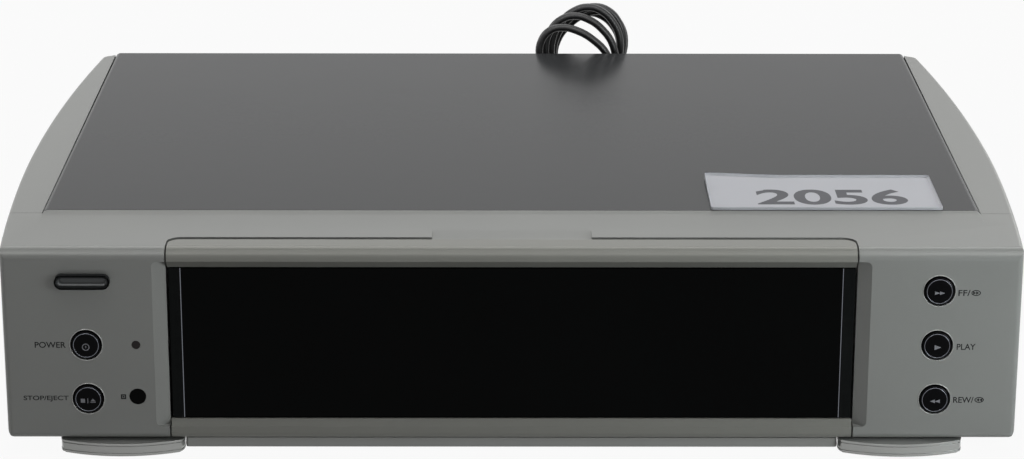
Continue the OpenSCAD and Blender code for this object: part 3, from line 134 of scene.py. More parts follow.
def stretched(tree, value, low, high):
    """A Map Range node that takes low to its To Min and high to its To Max."""
    node = tree.nodes.new("ShaderNodeMapRange")
    node.inputs["From Min"].default_value = low
    node.inputs["From Max"].default_value = high
    tree.links.new(value, node.inputs["Value"])
    return node


def make_surface_group():
    """A group that varies colour and roughness a little from place to place."""
    group = bpy.data.node_groups.new("grain_and_blotches", "ShaderNodeTree")
    socket(group, "Grain per metre", "NodeSocketFloat", 3000)
    socket(group, "Blotches per metre", "NodeSocketFloat", 18)
    socket(group, "Dark Color", "NodeSocketColor", (0.1, 0.1, 0.1, 1))
    socket(group, "Light Color", "NodeSocketColor", (0.2, 0.2, 0.2, 1))
    socket(group, "Smoothest", "NodeSocketFloat", 0.3)
    socket(group, "Roughest", "NodeSocketFloat", 0.5)
    socket(group, "Color", "NodeSocketColor", output=True)
    socket(group, "Roughness", "NodeSocketFloat", output=True)
    socket(group, "Height", "NodeSocketFloat", output=True)
    links = group.links
    given = group.nodes.new("NodeGroupInput")
    result = group.nodes.new("NodeGroupOutput")
    grain = noise(group, given, "Grain per metre", 2)
    blotch = noise(group, given, "Blotches per metre", 4, 0.6)
    shade = calculate(group, "MULTIPLY", blotch, BLOTCH_SHARE)
    both = calculate(group, "MULTIPLY_ADD", grain, GRAIN_SHARE, shade)
    colour = group.nodes.new("ShaderNodeMix")
    colour.data_type = "RGBA"
    links.new(stretched(group, both, 0.35, 0.65).outputs[0], colour.inputs[0])
    links.new(given.outputs["Dark Color"], colour.inputs[6])
    links.new(given.outputs["Light Color"], colour.inputs[7])
    rough = stretched(group, blotch, 0.3, 0.7)
    links.new(given.outputs["Smoothest"], rough.inputs["To Min"])
    links.new(given.outputs["Roughest"], rough.inputs["To Max"])
    links.new(colour.outputs[2], result.inputs["Color"])
    links.new(rough.outputs[0], result.inputs["Roughness"])
    links.new(grain, result.inputs["Height"])
    return group


surface_group = make_surface_group()
outputs = [item.name for item in surface_group.interface.items_tree if item.in_out == "OUTPUT"]
print("shared group outputs:", outputs)

# %% [markdown]
# A finish is then one call, where writing each material out would repeat the same nodes thirty times. Its
# colour is the middle of a narrow band of shades, its bump is a few microns deep, and its grain has the size
# of the real thing: fine spark erosion on the mouldings, the orange peel of powder paint on the steel cover,
# the drawn lines of bare sheet.

# %% Finishes
FINISHES = {}


def linear(red, green, blue):
    """A colour given as 0 to 255 on a screen, as the light it stands for."""
    def one(value):
        value /= 255
        return value / 12.92 if value <= 0.04045 else ((value + 0.055) / 1.055) ** 2.4

    return (one(red), one(green), one(blue), 1)


def add_finish(name, colour, rough, metallic=0.0, spread=0.05, grain=2500, depth=0.01, level=0.5):
    """Adds a material with shades round one colour.

    Spread is how far the shades go either way, grain how many grains lie on a metre, depth how deep they
    are in millimetres, and level the shader's specular level.
    """
    material = bpy.data.materials.new(name)
    material.use_nodes = True
    nodes, links = material.node_tree.nodes, material.node_tree.links
    principled = nodes["Principled BSDF"]
    principled.inputs["Metallic"].default_value = metallic
    principled.inputs["Specular IOR Level"].default_value = level
    surface = nodes.new("ShaderNodeGroup")
    surface.node_tree = surface_group
    surface.inputs["Grain per metre"].default_value = grain
    middle = linear(*colour)
    surface.inputs["Dark Color"].default_value = [c * (1 - spread) for c in middle[:3]] + [1]
    surface.inputs["Light Color"].default_value = [c * (1 + spread) for c in middle[:3]] + [1]
    surface.inputs["Smoothest"].default_value = rough * 0.88
    surface.inputs["Roughest"].default_value = min(1, rough * 1.12)
    bump = nodes.new("ShaderNodeBump")
    bump.inputs["Strength"].default_value = 1
    bump.inputs["Distance"].default_value = depth * MM
    links.new(surface.outputs["Color"], principled.inputs["Base Color"])
    links.new(surface.outputs["Roughness"], principled.inputs["Roughness"])
    links.new(surface.outputs["Height"], bump.inputs["Height"])
    links.new(bump.outputs["Normal"], principled.inputs["Normal"])
    FINISHES[name] = material


add_finish("silver_lacquer", (144, 145, 142), 0.33, 0.1, 0.03, 5000, 0.004, level=0.22)
add_finish("door_lacquer", (137, 137, 131), 0.33, 0.1, 0.03, 5000, 0.004, level=0.2)
add_finish("light_lacquer", (150, 151, 148), 0.3, 0.2, 0.03, 5000, 0.003, level=0.3)
add_finish("foot_lacquer", (166, 167, 164), 0.22, 0.35, 0.03, 5000, 0.003, level=0.7)
add_finish("cover_paint", (59, 60, 61), 0.2, 0.0, 0.04, 1800, 0.004, level=0.075)
add_finish("window_acrylic", (3, 4, 4), 0.05, 0.0, 0.3, 400, 0.0005, level=0.03)
add_finish("window_edge", (20, 22, 22), 0.1, 0.0, 0.3, 400, 0.0005, level=0.03)
add_finish("button_acrylic", (8, 8, 10), 0.08, 0.0, 0.2, 900, 0.0005, level=0.04)
# A painted highlight: bright metal for the thin ring in each button's groove and the line where each window
# strip begins.
add_finish("cap_ring", (112, 114, 121), 0.2, 1.0, 0.1, 900, 0.0005)
add_finish("lamp_lens", (46, 42, 41), 0.25, 0.0, 0.1, 900, 0.001, level=0.1)
add_finish("black_moulding", (26, 26, 27), 0.5, 0.0, 0.12, 2200, 0.02)
add_finish("grey_moulding", (96, 98, 99), 0.45, 0.1, 0.05, 2500, 0.01)
add_finish("red_moulding", (132, 44, 38), 0.45, 0.0, 0.06, 2500, 0.01)
add_finish("zinc_sheet", (188, 190, 188), 0.32, 1.0, 0.1, 700, 0.004)
add_finish("rear_paint", (118, 119, 118), 0.5, 0.0, 0.05, 1500, 0.01)
add_finish("nickel", (205, 204, 198), 0.18, 1.0, 0.05, 1200, 0.001)
add_finish("gold_plate", (214, 178, 102), 0.2, 1.0, 0.05, 1200, 0.001)
add_finish("turned_aluminium", (208, 210, 212), 0.22, 1.0, 0.04, 3000, 0.002)
add_finish("natural_acetal", (226, 225, 216), 0.42, 0.0, 0.03, 1500, 0.005)
add_finish("ground_rubber", (30, 29, 28), 0.75, 0.0, 0.15, 3500, 0.02)
add_finish("lead_sheath", (17, 17, 18), 0.38, 0.0, 0.2, 2500, 0.01)
add_finish("circuit_board", (52, 96, 58), 0.35, 0.0, 0.15, 600, 0.01)
add_finish("dark_glass", (14, 22, 22), 0.06, 0.0, 0.2, 300, 0.0005)
add_finish("winding", (150, 112, 62), 0.5, 0.3, 0.15, 1800, 0.05)
add_finish("print_dark", (34, 35, 36), 0.55, 0.0, 0.1, 4000, 0.002, level=0.1)
add_finish("print_light", (132, 132, 138), 0.5, 0.0, 0.08, 4000, 0.002)
add_finish("label_paper", (196, 197, 202), 0.75, 0.0, 0.02, 2600, 0.01)
add_finish("label_ink", (66, 67, 72), 0.7, 0.0, 0.06, 2600, 0.005)
add_finish("badge_dark", (48, 50, 51), 0.3, 0.4, 0.1, 3000, 0.004)
add_finish("signal_yellow", (206, 172, 38), 0.4, 0.0, 0.05, 1500, 0.004)
add_finish("signal_white", (214, 214, 208), 0.4, 0.0, 0.04, 1500, 0.004)
add_finish("signal_red", (172, 34, 32), 0.4, 0.0, 0.06, 1500, 0.004)
print(len(FINISHES), "finishes")

# %% [markdown]
# Most nodes of the model already have the right shape, so they only get their finish. The table names a
# finish for each of the record's material slots, and each node's own slot picks it. The door is moulded and
# sprayed apart from the fascia, so it has a shade of its own, a little darker and warmer.

# %% Finishes on the model's own pieces
SLOT_FINISH = {
    "cover_steel": "cover_paint",
    "silver_plastic": "silver_lacquer",
    "chin_plastic": "light_lacquer",
    "foot_plastic": "foot_lacquer",
    "window_gloss": "window_acrylic",
    "button_gloss": "button_acrylic",
    "lamp_lens": "lamp_lens",
    "black_plastic": "black_moulding",
    "key_grey": "grey_moulding",
    "key_red": "red_moulding",
    "zinc_steel": "zinc_sheet",
    "rear_steel": "rear_paint",
    "socket_metal": "nickel",
    "gold_metal": "gold_plate",
    "drum_aluminium": "turned_aluminium",
    "white_plastic": "natural_acetal",
    "roller_rubber": "ground_rubber",
    "cord_pvc": "lead_sheath",
    "board_green": "circuit_board",
    "display_glass": "dark_glass",
    "winding": "winding",
}
NODE_FINISH = {"door_frame": "door_lacquer"}
node_slot = {s["node"]: s["material_slot"] for s in frame["record"]["subparts"]}
node_body = {n: b for b, names in frame["record"]["behaviour"]["bodies"].items() for n in names}

for node, piece in frame["nodes"].items():
    piece.data.materials.clear()
    piece.data.materials.append(FINISHES[NODE_FINISH.get(node, SLOT_FINISH[node_slot[node]])])
print("dressed", len(frame["nodes"]), "nodes")

# %% [markdown]
# The mains lead is a flexible thing of fixed length. It leaves a tapered gland at the back, falls to the
# table, runs along it and then winds into a hank of six loops, drawn in at the waist by a tie, whose tops
# look over the casing. The free stretch follows listed points, and each loop is a formula, so all loops
# have the same build but their own height and lean. A hair curve or a rope simulation could do it too, but
# neither would give the same lead twice.

# %% Route of the mains lead
LEAD_DIA = 4 * MM
GLAND_TIP = (102, 344, 30)
FREE_STRETCH = [
    GLAND_TIP, (102, 349, 30), (102, 356, 29.4), (102, 363, 26.4),
    (101.6, 367, 20.6), (100.6, 368, 14), (98.6, 366.4, 8), (95.4, 362, 3.6),
    (92, 355.4, 2.3), (89.2, 347.4, 2), (86.4, 339.4, 2), (82.8, 332.4, 2),
    (77, 328.2, 2), (70, 326.5, 2), (64, 326.5, 2),
]
HANK_X = 39
HANK_Y = 326.5
HANK_W = 54
HANK_WAIST = 56
HANK_STEP = 4.8
HANK_PINCH = 0.6
HANK_TOP = [108, 113, 116.5, 115.5, 112, 110]
HANK_LEAN = [-0.24, -0.1, 0.03, 0.1, 0.14, 0.05]
HANK_RINGS = 24
INTO_HANK = 12
OUT_OF_HANK = 10
PLUG_LEAD = 40
PLUG_INSIDE = 4
PLUG_STEPS = 5
PLUG_Z = 6.4
LEAD_R = LEAD_DIA / MM / 2


def ease(t):
    """A number from 0 to 1 that starts and ends gently."""
    return t * t * (3 - 2 * t)


def hank_point(s):
    """Centre of the lead at turn number s of the hank, in millimetres behind the front."""
    turn = min(int(s), len(HANK_TOP) - 1)
    angle = 2 * math.pi * (s - turn)
    up = -math.cos(angle)
    tall = HANK_TOP[turn] - LEAD_R - HANK_WAIST
    z = HANK_WAIST + up * ((HANK_WAIST - LEAD_R) if up < 0 else tall)
    lean = HANK_LEAN[turn] * tall * up * up if up > 0 else 0
    x = -HANK_W / 2 * math.sin(angle) * (1 - HANK_PINCH * math.sin(angle) ** 6)
    climb = ease((s - turn) * 4 - 3) if s - turn > 0.75 else 0
    return (HANK_X + x + lean, HANK_Y + HANK_STEP * (turn + climb), z)


def lead_line():
    """All points of the lead from the gland to the plug, in metres."""
    last_y = HANK_Y + HANK_STEP * len(HANK_TOP)
    line = list(FREE_STRETCH) + [(HANK_X + INTO_HANK, HANK_Y, LEAD_R)]
    line += [hank_point(k / HANK_RINGS) for k in range(HANK_RINGS * len(HANK_TOP) + 1)]
    for k in range(1, PLUG_STEPS + 1):
        t = k / PLUG_STEPS
        rise = LEAD_R + (PLUG_Z - LEAD_R) * ease(min(1, t * 1.2))
        line.append((HANK_X - OUT_OF_HANK - PLUG_LEAD * t, last_y, rise))
    line.append((HANK_X - OUT_OF_HANK - PLUG_INSIDE - PLUG_LEAD, last_y, PLUG_Z))
    return [Vector((x * MM, front_y + y * MM, z * MM)) for x, y, z in line]


lead_points = lead_line()
print("the route has", len(lead_points), "points")

# %% [markdown]
# A Bezier curve through these points, with a round bevel as thick as the lead, is the lead itself. A tube
# pulled along as a mesh would look the same, but a curve can still be read as a line with a length.

# %% Mains lead


def make_lead(points):
    """A curve as thick as the lead through all points."""
    curve = bpy.data.curves.new("mains_lead", "CURVE")
    curve.dimensions = "3D"
    curve.bevel_depth = LEAD_DIA / 2
    curve.bevel_resolution = 4
    curve.resolution_u = 4
    curve.use_fill_caps = True
    spline = curve.splines.new("BEZIER")
    spline.bezier_points.add(len(points) - 1)
    for point, place in zip(spline.bezier_points, points):
        point.co = place
        point.handle_left_type = point.handle_right_type = "AUTO"
    lead = bpy.data.objects.new("mains_lead", curve)
    bpy.context.scene.collection.objects.link(lead)
    lead.data.materials.append(FINISHES["lead_sheath"])
    return lead


lead = make_lead(lead_points)
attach(lead, "root")
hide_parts("mains_cord", "cord_hank")
print("the lead is", round(lead.data.bevel_depth * 2 / MM, 2), "mm thick")

# %% [markdown]
# Moulded plastic and folded steel have no knife edges. A radius of a few tenths of a millimetre is what
# catches the light and makes a seam readable, and the engineering model leaves it out. Picking hundreds of
# edges by hand would take a day, so each visible shell gets a copy whose loose triangles are merged, whose
# flat faces are joined again, and whose sharp edges a Bevel modifier finds by their angle and rounds. The
# copy then stands for the original piece. Two copies are pulled a little as well: the fascia's top rises to
# the cover from further in front, and the chin's ends reach the feet.

# %% Softened shells
NEAR = 0.1 * MM
MERGE_WITHIN = 0.002 * MM
FLAT_WITHIN = math.radians(0.04)


def alone(piece):
    """Makes one object the only selected and active one."""
    bpy.ops.object.select_all(action="DESELECT")
    piece.select_set(True)
    bpy.context.view_layer.objects.active = piece


def hand_over(piece, name, finish, body="root"):
    """Puts a finished piece's place in its mesh, gives it a finish and lets it ride on a body."""
    alone(piece)
    bpy.ops.object.transform_apply(location=True, rotation=True, scale=True)
    piece.name = piece.data.name = name
    piece.data.materials.clear()
    piece.data.materials.append(FINISHES[finish])
    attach(piece, body)
    return piece


def apply_modifier(piece, kind, **settings):
    """Adds a modifier with its settings and applies it at once."""
    modifier = piece.modifiers.new(kind.lower(), kind)
    for key, value in settings.items():
        setattr(modifier, key, value)
    alone(piece)
    bpy.ops.object.modifier_apply(modifier=modifier.name)


def pick_vertices(piece, wanted):
    """Selects, in edit mode, the vertices for whose place wanted() is true."""
    alone(piece)
    bpy.ops.object.mode_set(mode="EDIT")
    bpy.ops.mesh.select_mode(type="VERT")
    bpy.ops.mesh.select_all(action="DESELECT")
    bpy.ops.object.mode_set(mode="OBJECT")
    for vertex in piece.data.vertices:
        vertex.select = wanted(vertex.co)
    bpy.ops.object.mode_set(mode="EDIT")


def pull(piece, wanted, step):
    """Moves the wanted vertices by a step in millimetres."""
    pick_vertices(piece, wanted)
    bpy.ops.transform.translate(value=Vector(step) * MM)
    bpy.ops.object.mode_set(mode="OBJECT")


def soften_edges(piece, radius, sharp=28, smooth=38):
    """Rounds all edges past the sharp angle and shades smooth what bends less than the smooth one."""
    apply_modifier(
        piece, "BEVEL", width=radius * MM, segments=2, limit_method="ANGLE", angle_limit=math.radians(sharp)
    )
    alone(piece)
    bpy.ops.object.shade_smooth_by_angle(angle=math.radians(smooth))
    apply_modifier(piece, "WEIGHTED_NORMAL", mode="FACE_AREA", weight=50, keep_sharp=True)


def softened(node, radius, pulls=()):
    """A merged copy of a node with rounded edges, which stands for the node."""
    piece = bpy.data.objects.new(node + "_soft", frame["nodes"][node].data.copy())
    bpy.context.scene.collection.objects.link(piece)
    alone(piece)
    bpy.ops.object.mode_set(mode="EDIT")
    bpy.ops.mesh.select_all(action="SELECT")
    bpy.ops.mesh.remove_doubles(threshold=MERGE_WITHIN)
    bpy.ops.mesh.dissolve_limited(angle_limit=FLAT_WITHIN)
    bpy.ops.object.mode_set(mode="OBJECT")
    for wanted, step in pulls:
        pull(piece, wanted, step)
    soften_edges(piece, radius)
    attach(piece, node_body[node])
    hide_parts(node)
    return piece


EDGE_RADIUS = {
    "fascia": 0.25, "door_frame": 0.3, "chin": 0.25,
    "top_cover": 0.2, "front_feet": 0.16, "door_window": 0.12, "inner_panel": 0.2,
    "cassette_flap": 0.2, "plug_body": 0.5, "rear_panel": 0.1,
}
LIP_LENGTH = 4 * MM
LIP_RISE = 2.2 * MM
LIP_LONGER = 13
CHIN_LONGER = 1.1
lip_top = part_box("fascia")[1].z
lip_foot_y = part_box("fascia")[1].y - LIP_LENGTH


def on_lip_foot(place):
    """Where the fascia's top starts to rise to the cover."""
    return abs(place.y - lip_foot_y) < NEAR and place.z > lip_top - LIP_RISE


PULLS = {
    "fascia": [(on_lip_foot, (0, -LIP_LONGER, 0))],
    "chin": [
        (lambda place: place.x < 0, (-CHIN_LONGER, 0, 0)),
        (lambda place: place.x > 0, (CHIN_LONGER, 0, 0)),
    ],
}
for node, radius in EDGE_RADIUS.items():
    softened(node, radius, PULLS.get(node, ()))

# %% [markdown]
# The lead was drawn above. Its plug now has its soft edges too.

# %% [markdown]
# The cheeks' outline shows against the background all the way, and the long facets of the engineering
# model would leave specks on it. So each cheek is drawn anew in its place: a flat outline with a fine arc,
# pulled up to the shoulder, which rises a little to the back, and then rounded edge by edge. Cutting a block
# with a large cylinder would give the same arc, but no clean row of edges to round.

# %% Side cheeks
HALF_W = 215.5
SIDE_BULGE = 5.9
BULGE_Y = 133
SIDE_R = BULGE_Y ** 2 / (2 * SIDE_BULGE)
CHEEK_OUT = 0.4
OUT_ALONG = 90
CHEEK_RISE = 0.7
CHEEK_STEPS = 96
CHEEK_CORNER = 4.4
TOP_ROUND = 1.8
LOW_ROUND = 4
SEAM_ROUND = 0.12
cheek_in_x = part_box("right_cheek")[0].x
cheek_start = (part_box("right_cheek")[0].y - front_y) / MM


def side_x(y):
    """How far out a cheek reaches at a depth behind the front, both in millimetres."""
    arc = HALF_W + SIDE_BULGE - SIDE_R + math.sqrt(SIDE_R ** 2 - (y - BULGE_Y) ** 2)
    return arc + CHEEK_OUT * ease(min(1, (y - cheek_start) / OUT_ALONG))


def cheek_outline(low, high, side):
    """The outline from above, with the last two steps as one, so that the corner's rounding fits in."""
    places = [(side * cheek_in_x, high.y), (side * cheek_in_x, low.y)]
    for k in (*range(CHEEK_STEPS - 1), CHEEK_STEPS):
        y = low.y + (high.y - low.y) * k / CHEEK_STEPS
        places.append((side * side_x((y - front_y) / MM) * MM, y))
    return places


def cheek_block(node, side):
    """An upright block with the cheek's outline, whose top rises to the back."""
    low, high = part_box(node)
    places = cheek_outline(low, high, side)
    block = bpy.data.objects.new(node, bpy.data.meshes.new(node))
    block.data.from_pydata([(x, y, low.z) for x, y in places], [], [range(len(places))])
    bpy.context.scene.collection.objects.link(block)
    alone(block)
    bpy.ops.object.mode_set(mode="EDIT")
    bpy.ops.mesh.select_all(action="SELECT")
    bpy.ops.mesh.extrude_region_move(TRANSFORM_OT_translate={"value": (0, 0, high.z - low.z)})
    bpy.ops.mesh.select_all(action="SELECT")
    bpy.ops.mesh.normals_make_consistent(inside=False)
    bpy.ops.object.mode_set(mode="OBJECT")
    for vertex in block.data.vertices:
        if vertex.co.z > high.z - NEAR:
            vertex.co.z += CHEEK_RISE * MM * (vertex.co.y - low.y) / (high.y - low.y)
    return block


def round_edges(piece, wanted, radius, segments):
    """Bevels the edges whose ends are both wanted."""
    pick_vertices(piece, wanted)
    bpy.ops.mesh.select_mode(type="EDGE")
    bpy.ops.mesh.bevel(offset=radius * MM, segments=segments)
    bpy.ops.object.mode_set(mode="OBJECT")


def make_cheek(node, side):
    """The block with its back corner, its shoulder and its foot rounded, in the place of the node."""
    low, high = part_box(node)
    cheek = cheek_block(node, side)

    def outer(place):
        return abs(place.x) > cheek_in_x + NEAR

    round_edges(cheek, lambda place: outer(place) and place.y > high.y - NEAR, CHEEK_CORNER, 8)
    round_edges(cheek, lambda place: outer(place) and place.z > high.z - NEAR, TOP_ROUND, 6)
    round_edges(cheek, lambda place: outer(place) and place.z < low.z + NEAR, LOW_ROUND, 8)
    soften_edges(cheek, SEAM_ROUND, 35, 40)
    hand_over(cheek, node + "_shell", "silver_lacquer", node_body[node])
    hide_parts(node)
    return cheek


for node, side in (("left_cheek", -1), ("right_cheek", 1)):
    cheek = make_cheek(node, side)
    print(node, "has", len(cheek.data.polygons), "faces")

# %% [markdown]
# The five buttons are polished black caps with a narrow groove near the rim. In the groove lies a thin ring
# of bright metal, a painted highlight for the light along the groove's edge. A cap is a turned form that
# could be spun from a drawn profile. It is quicker to build face by face: start from a filled circle and
# inset it again and again, each time with a small step outwards or inwards. The list of steps is the profile
# of the cap, read from the rim to the middle: how far across, how far forward.

# %% Button caps
CIRCLE_STEPS = 64
BUTTON_R = 6.1
CAP_ROOT = 0.4
CAP_WALL = 0.88
CAP_STEPS = [
    (0.12, 0.1), (0.5, 0.16), (0.08, -0.05), (0.12, 0), (0.1, 0.12),
    (0.25, 0.1), (0.6, 0.14), (0.9, 0.12), (1.2, 0.08), (1.2, 0.03),
]
# The ring in the groove is a painted highlight, a thin torus of bright metal.
HIGHLIGHT_RING_R = 5.3
HIGHLIGHT_RING_WIRE = 0.14
HIGHLIGHT_RING_FORWARD = 0.72
RIM_R = 6.95
RIM_WIRE = 0.22
BUTTONS = ("power_button", "stop_eject_button", "fast_forward_button", "play_button", "rewind_button")


def button_middle(node):
    """The middle of a button in the plane of the front."""
    low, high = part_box(node)
    return Vector(((low.x + high.x) / 2, front_y, (low.z + high.z) / 2))


def make_cap(node):
    """A domed cap over a button."""
    bpy.ops.mesh.primitive_circle_add(
        vertices=CIRCLE_STEPS, radius=BUTTON_R * MM, fill_type="NGON",
        location=button_middle(node) + Vector((0, CAP_ROOT * MM, 0)), rotation=(math.radians(90), 0, 0),
    )
    cap = bpy.context.object
    bpy.ops.object.mode_set(mode="EDIT")
    bpy.ops.mesh.select_all(action="SELECT")
    bpy.ops.mesh.extrude_region_move(TRANSFORM_OT_translate={"value": (0, -CAP_WALL * MM, 0)})
    for across, forward in CAP_STEPS:
        bpy.ops.mesh.inset(thickness=across * MM, depth=forward * MM, use_outset=False)
    bpy.ops.object.mode_set(mode="OBJECT")
    bpy.ops.object.shade_smooth_by_angle(angle=math.radians(40))
    return hand_over(cap, node + "_cap", "button_acrylic", node_body[node])


def ring_at(place, radius, wire):
    """A thin ring that faces the front."""
    bpy.ops.mesh.primitive_torus_add(
        location=place, rotation=(math.radians(90), 0, 0), major_segments=CIRCLE_STEPS, minor_segments=8,
        major_radius=radius * MM, minor_radius=wire * MM,
    )
    bpy.ops.object.shade_smooth()
    return bpy.context.object


for node in BUTTONS:
    cap = make_cap(node)
    # A painted highlight: a bright ring in the groove stands for the light along its edge.
    groove = button_middle(node) - Vector((0, HIGHLIGHT_RING_FORWARD * MM, 0))
    ring = ring_at(groove, HIGHLIGHT_RING_R, HIGHLIGHT_RING_WIRE)
    hand_over(ring, node + "_ring", "cap_ring", node_body[node])
    rim = ring_at(button_middle(node), RIM_R, RIM_WIRE)
    hand_over(rim, node + "_rim", "foot_lacquer")
cap_front = min(v.co.y for v in cap.data.vertices)
print("caps stand out", round((front_y - cap_front) / MM, 2), "mm")

# %% [markdown]
# Lettering and symbols are thin plates that stand a few hundredths of a millimetre out of the surface, like
# a screen print. A picture laid over the panel would be lighter, but it blurs close up. Each print is made
# anywhere, turned into a mesh, and then scaled and moved so that it fills the box it has on the real panel.
# Working from the box keeps every print in place whatever the font's own spacing is. A box is always left,
# right, low and high in millimetres.

# %% Words on a panel
PRINT_T = 0.02 * MM
FRONT = {"turn": (math.radians(90), 0, 0), "flat": (0, 2)}
REAR = {"turn": (math.radians(90), 0, math.radians(180)), "flat": (0, 2)}
TOP = {"turn": (0, 0, 0), "flat": (0, 1)}


def fit_in_box(piece, box, side, level):
    """Scales and moves a flat mesh so that it fills a box on a panel at a level."""
    alone(piece)
    bpy.ops.object.transform_apply(location=True, rotation=True, scale=True)
    across, up = side["flat"]
    for axis, low, high in ((across, box[0] * MM, box[1] * MM), (up, box[2] * MM, box[3] * MM)):
        values = [v.co[axis] for v in piece.data.vertices]
        grow = (high - low) / (max(values) - min(values))
        piece.scale[axis] = grow
        piece.location[axis] = low - min(values) * grow
    thin = 3 - across - up
    piece.location[thin] = level


def print_words(words, box, side, level, finish="print_dark", slot="silver_plastic", bold=0):
    """Prints words into a box."""
    bpy.ops.object.text_add(rotation=side["turn"])
    text = bpy.context.object
    text.data.body = words
    text.data.extrude = PRINT_T
    text.data.offset = bold
    alone(text)
    bpy.ops.object.convert(target="MESH")
    text = bpy.context.object
    fit_in_box(text, box, side, level)
    name = "print_" + "".join(c if c.isalnum() else "_" for c in words.lower())
    return hand_over(text, name, finish)


print("prints stand out", round(PRINT_T / MM, 3), "mm")

# %% [markdown]
# Symbols are put together from prisms: three corners make an arrow, four a bar, many a disc. A line of even
# width is a prism with a smaller one cut out of it.

# %% Symbols on a panel
LEFTWARD = math.radians(90)
RIGHTWARD = math.radians(-90)
UPWARD = 0
SQUARE = math.radians(45)


def plate(corners, box, side, level, turn=0.0, thick=PRINT_T):
    """A thin prism with that many corners, drawn into a box."""
    bpy.ops.mesh.primitive_cylinder_add(vertices=corners, radius=MM, depth=2 * thick, rotation=(0, 0, turn))
    made = bpy.context.object
    alone(made)
    bpy.ops.object.transform_apply(location=True, rotation=True, scale=True)
    made.rotation_euler = side["turn"]
    fit_in_box(made, box, side, level)
    return made


def shrunk(box, by):
    """The same box with all four sides moved in."""
    left, right, low, high = box
    return (left + by, right - by, low + by, high - by)


def outline(box, side, level, width, corners=48, turn=0.0):
    """A closed line of even width round a box, from two prisms and a Boolean."""
    made = plate(corners, box, side, level, turn)
    hole = plate(corners, shrunk(box, width), side, level, turn, 4 * PRINT_T)
    apply_modifier(made, "BOOLEAN", object=hole, operation="DIFFERENCE", solver="EXACT")
    bpy.data.objects.remove(hole)
    return made


def joined(pieces, name, finish, body="root"):
    """Hands several pieces over as one."""
    if len(pieces) > 1:
        bpy.ops.object.select_all(action="DESELECT")
        for piece in pieces:
            piece.select_set(True)
        bpy.context.view_layer.objects.active = pieces[0]
        bpy.ops.object.join()
    return hand_over(pieces[0], name, finish, body)


# %% [markdown]
# The front carries the words beside the buttons. Two of them are followed by a search sign, two small arrows
# in a ring.

# %% Words on the front
WORD_H = 2.7
WORD_BOLD = 0.014
# Words, button beside them, left end, right end, and how much higher than the button's middle
WORDS = [
    ("POWER", "power_button", -202.3, -189.1, 0),
    ("STOP/EJECT", "stop_eject_button", -208.1, -188.9, 0),
    ("FF/", "fast_forward_button", 188.5, 193.6, -0.8),
    ("PLAY", "play_button", 188.9, 196.9, -0.6),
    ("REW/", "rewind_button", 188.5, 197.2, -0.3),
]
SEARCH_HALF = 1.3
SEARCH_LINE = 0.42
ARROW_W = 1.3
ARROW_HALF = 0.75


def height_of(node):
    """The height of a button's middle in millimetres."""
    return button_middle(node).z / MM


def search_icon(node, left, right, higher, turn, name):
    """Two small arrows in a ring, beside the winding buttons."""
    z = height_of(node) + higher
    middle = (left + right) / 2
    parts = [outline((left, right, z - SEARCH_HALF, z + SEARCH_HALF), FRONT, front_y, SEARCH_LINE)]
    for start in (middle - ARROW_W, middle):
        box = (start, start + ARROW_W, z - ARROW_HALF, z + ARROW_HALF)
        parts.append(plate(3, box, FRONT, front_y, turn))
    joined(parts, name, "print_dark")


for words, node, left, right, higher in WORDS:
    z = height_of(node) + higher
    print_words(words, (left, right, z - WORD_H / 2, z + WORD_H / 2), FRONT, front_y, bold=WORD_BOLD)
search_icon("fast_forward_button", 194, 198, -0.8, RIGHTWARD, "icon_search_ahead")
search_icon("rewind_button", 197.6, 201.6, -0.3, LEFTWARD, "icon_search_back")
print(len(WORDS), "words and 2 search signs on the front")

# %% [markdown]
# Each cap has its usual symbol in the middle. The symbols ride on the buttons, so that they go in with them.

# %% Symbols on the caps
SYMBOL_Y = front_y - 1.44 * MM
SYMBOL_T = 0.04 * MM
SYMBOL_LOW = 0.4
# Corners, turn, left, right, low and high from the symbol's middle
SYMBOLS = {
    "fast_forward_button": [(3, RIGHTWARD, -2.1, 0, -0.8, 0.8), (3, RIGHTWARD, 0, 2.1, -0.8, 0.8)],
    "play_button": [(3, RIGHTWARD, -1.2, 1.6, -1.1, 1.1)],
    "rewind_button": [(3, LEFTWARD, -2.1, 0, -0.8, 0.8), (3, LEFTWARD, 0, 2.1, -0.8, 0.8)],
    "stop_eject_button": [
        (4, SQUARE, -3.1, -1.3, -0.9, 0.9), (4, SQUARE, -0.25, 0.05, -1.1, 1.1),
        (3, UPWARD, 1, 3.2, -0.3, 0.9), (4, SQUARE, 1, 3.2, -0.9, -0.6),
    ],
}
POWER_R = 1.6
POWER_LOW = 0.5
POWER_LINE = 0.4
POWER_BAR_HALF = 0.2
POWER_BAR_UP = (-0.5, 0.6)


def cap_symbol(node, plates):
    """Joins the plates of a symbol and lets it ride on its button."""
    joined(plates, node + "_symbol", "print_light", node_body[node])


for node, parts in SYMBOLS.items():
    middle = button_middle(node) / MM
    z = middle.z - SYMBOL_LOW
    plates = []
    for corners, turn, left, right, low, high in parts:
        box = (middle.x + left, middle.x + right, z + low, z + high)
        plates.append(plate(corners, box, FRONT, SYMBOL_Y, turn, SYMBOL_T))
    cap_symbol(node, plates)

middle = button_middle("power_button") / MM
z = middle.z - POWER_LOW
ring_box = (middle.x - POWER_R, middle.x + POWER_R, z - POWER_R, z + POWER_R)
ring = outline(ring_box, FRONT, SYMBOL_Y, POWER_LINE)
bar_box = (middle.x - POWER_BAR_HALF, middle.x + POWER_BAR_HALF, z + POWER_BAR_UP[0], z + POWER_BAR_UP[1])
bar = plate(4, bar_box, FRONT, SYMBOL_Y, SQUARE)
cap_symbol("power_button", [ring, bar])
print("symbols on", len(SYMBOLS) + 1, "caps")

# %% [markdown]
# Beside the remote window is a tiny sign, a square with a dot, so that nobody takes it for a second lamp.

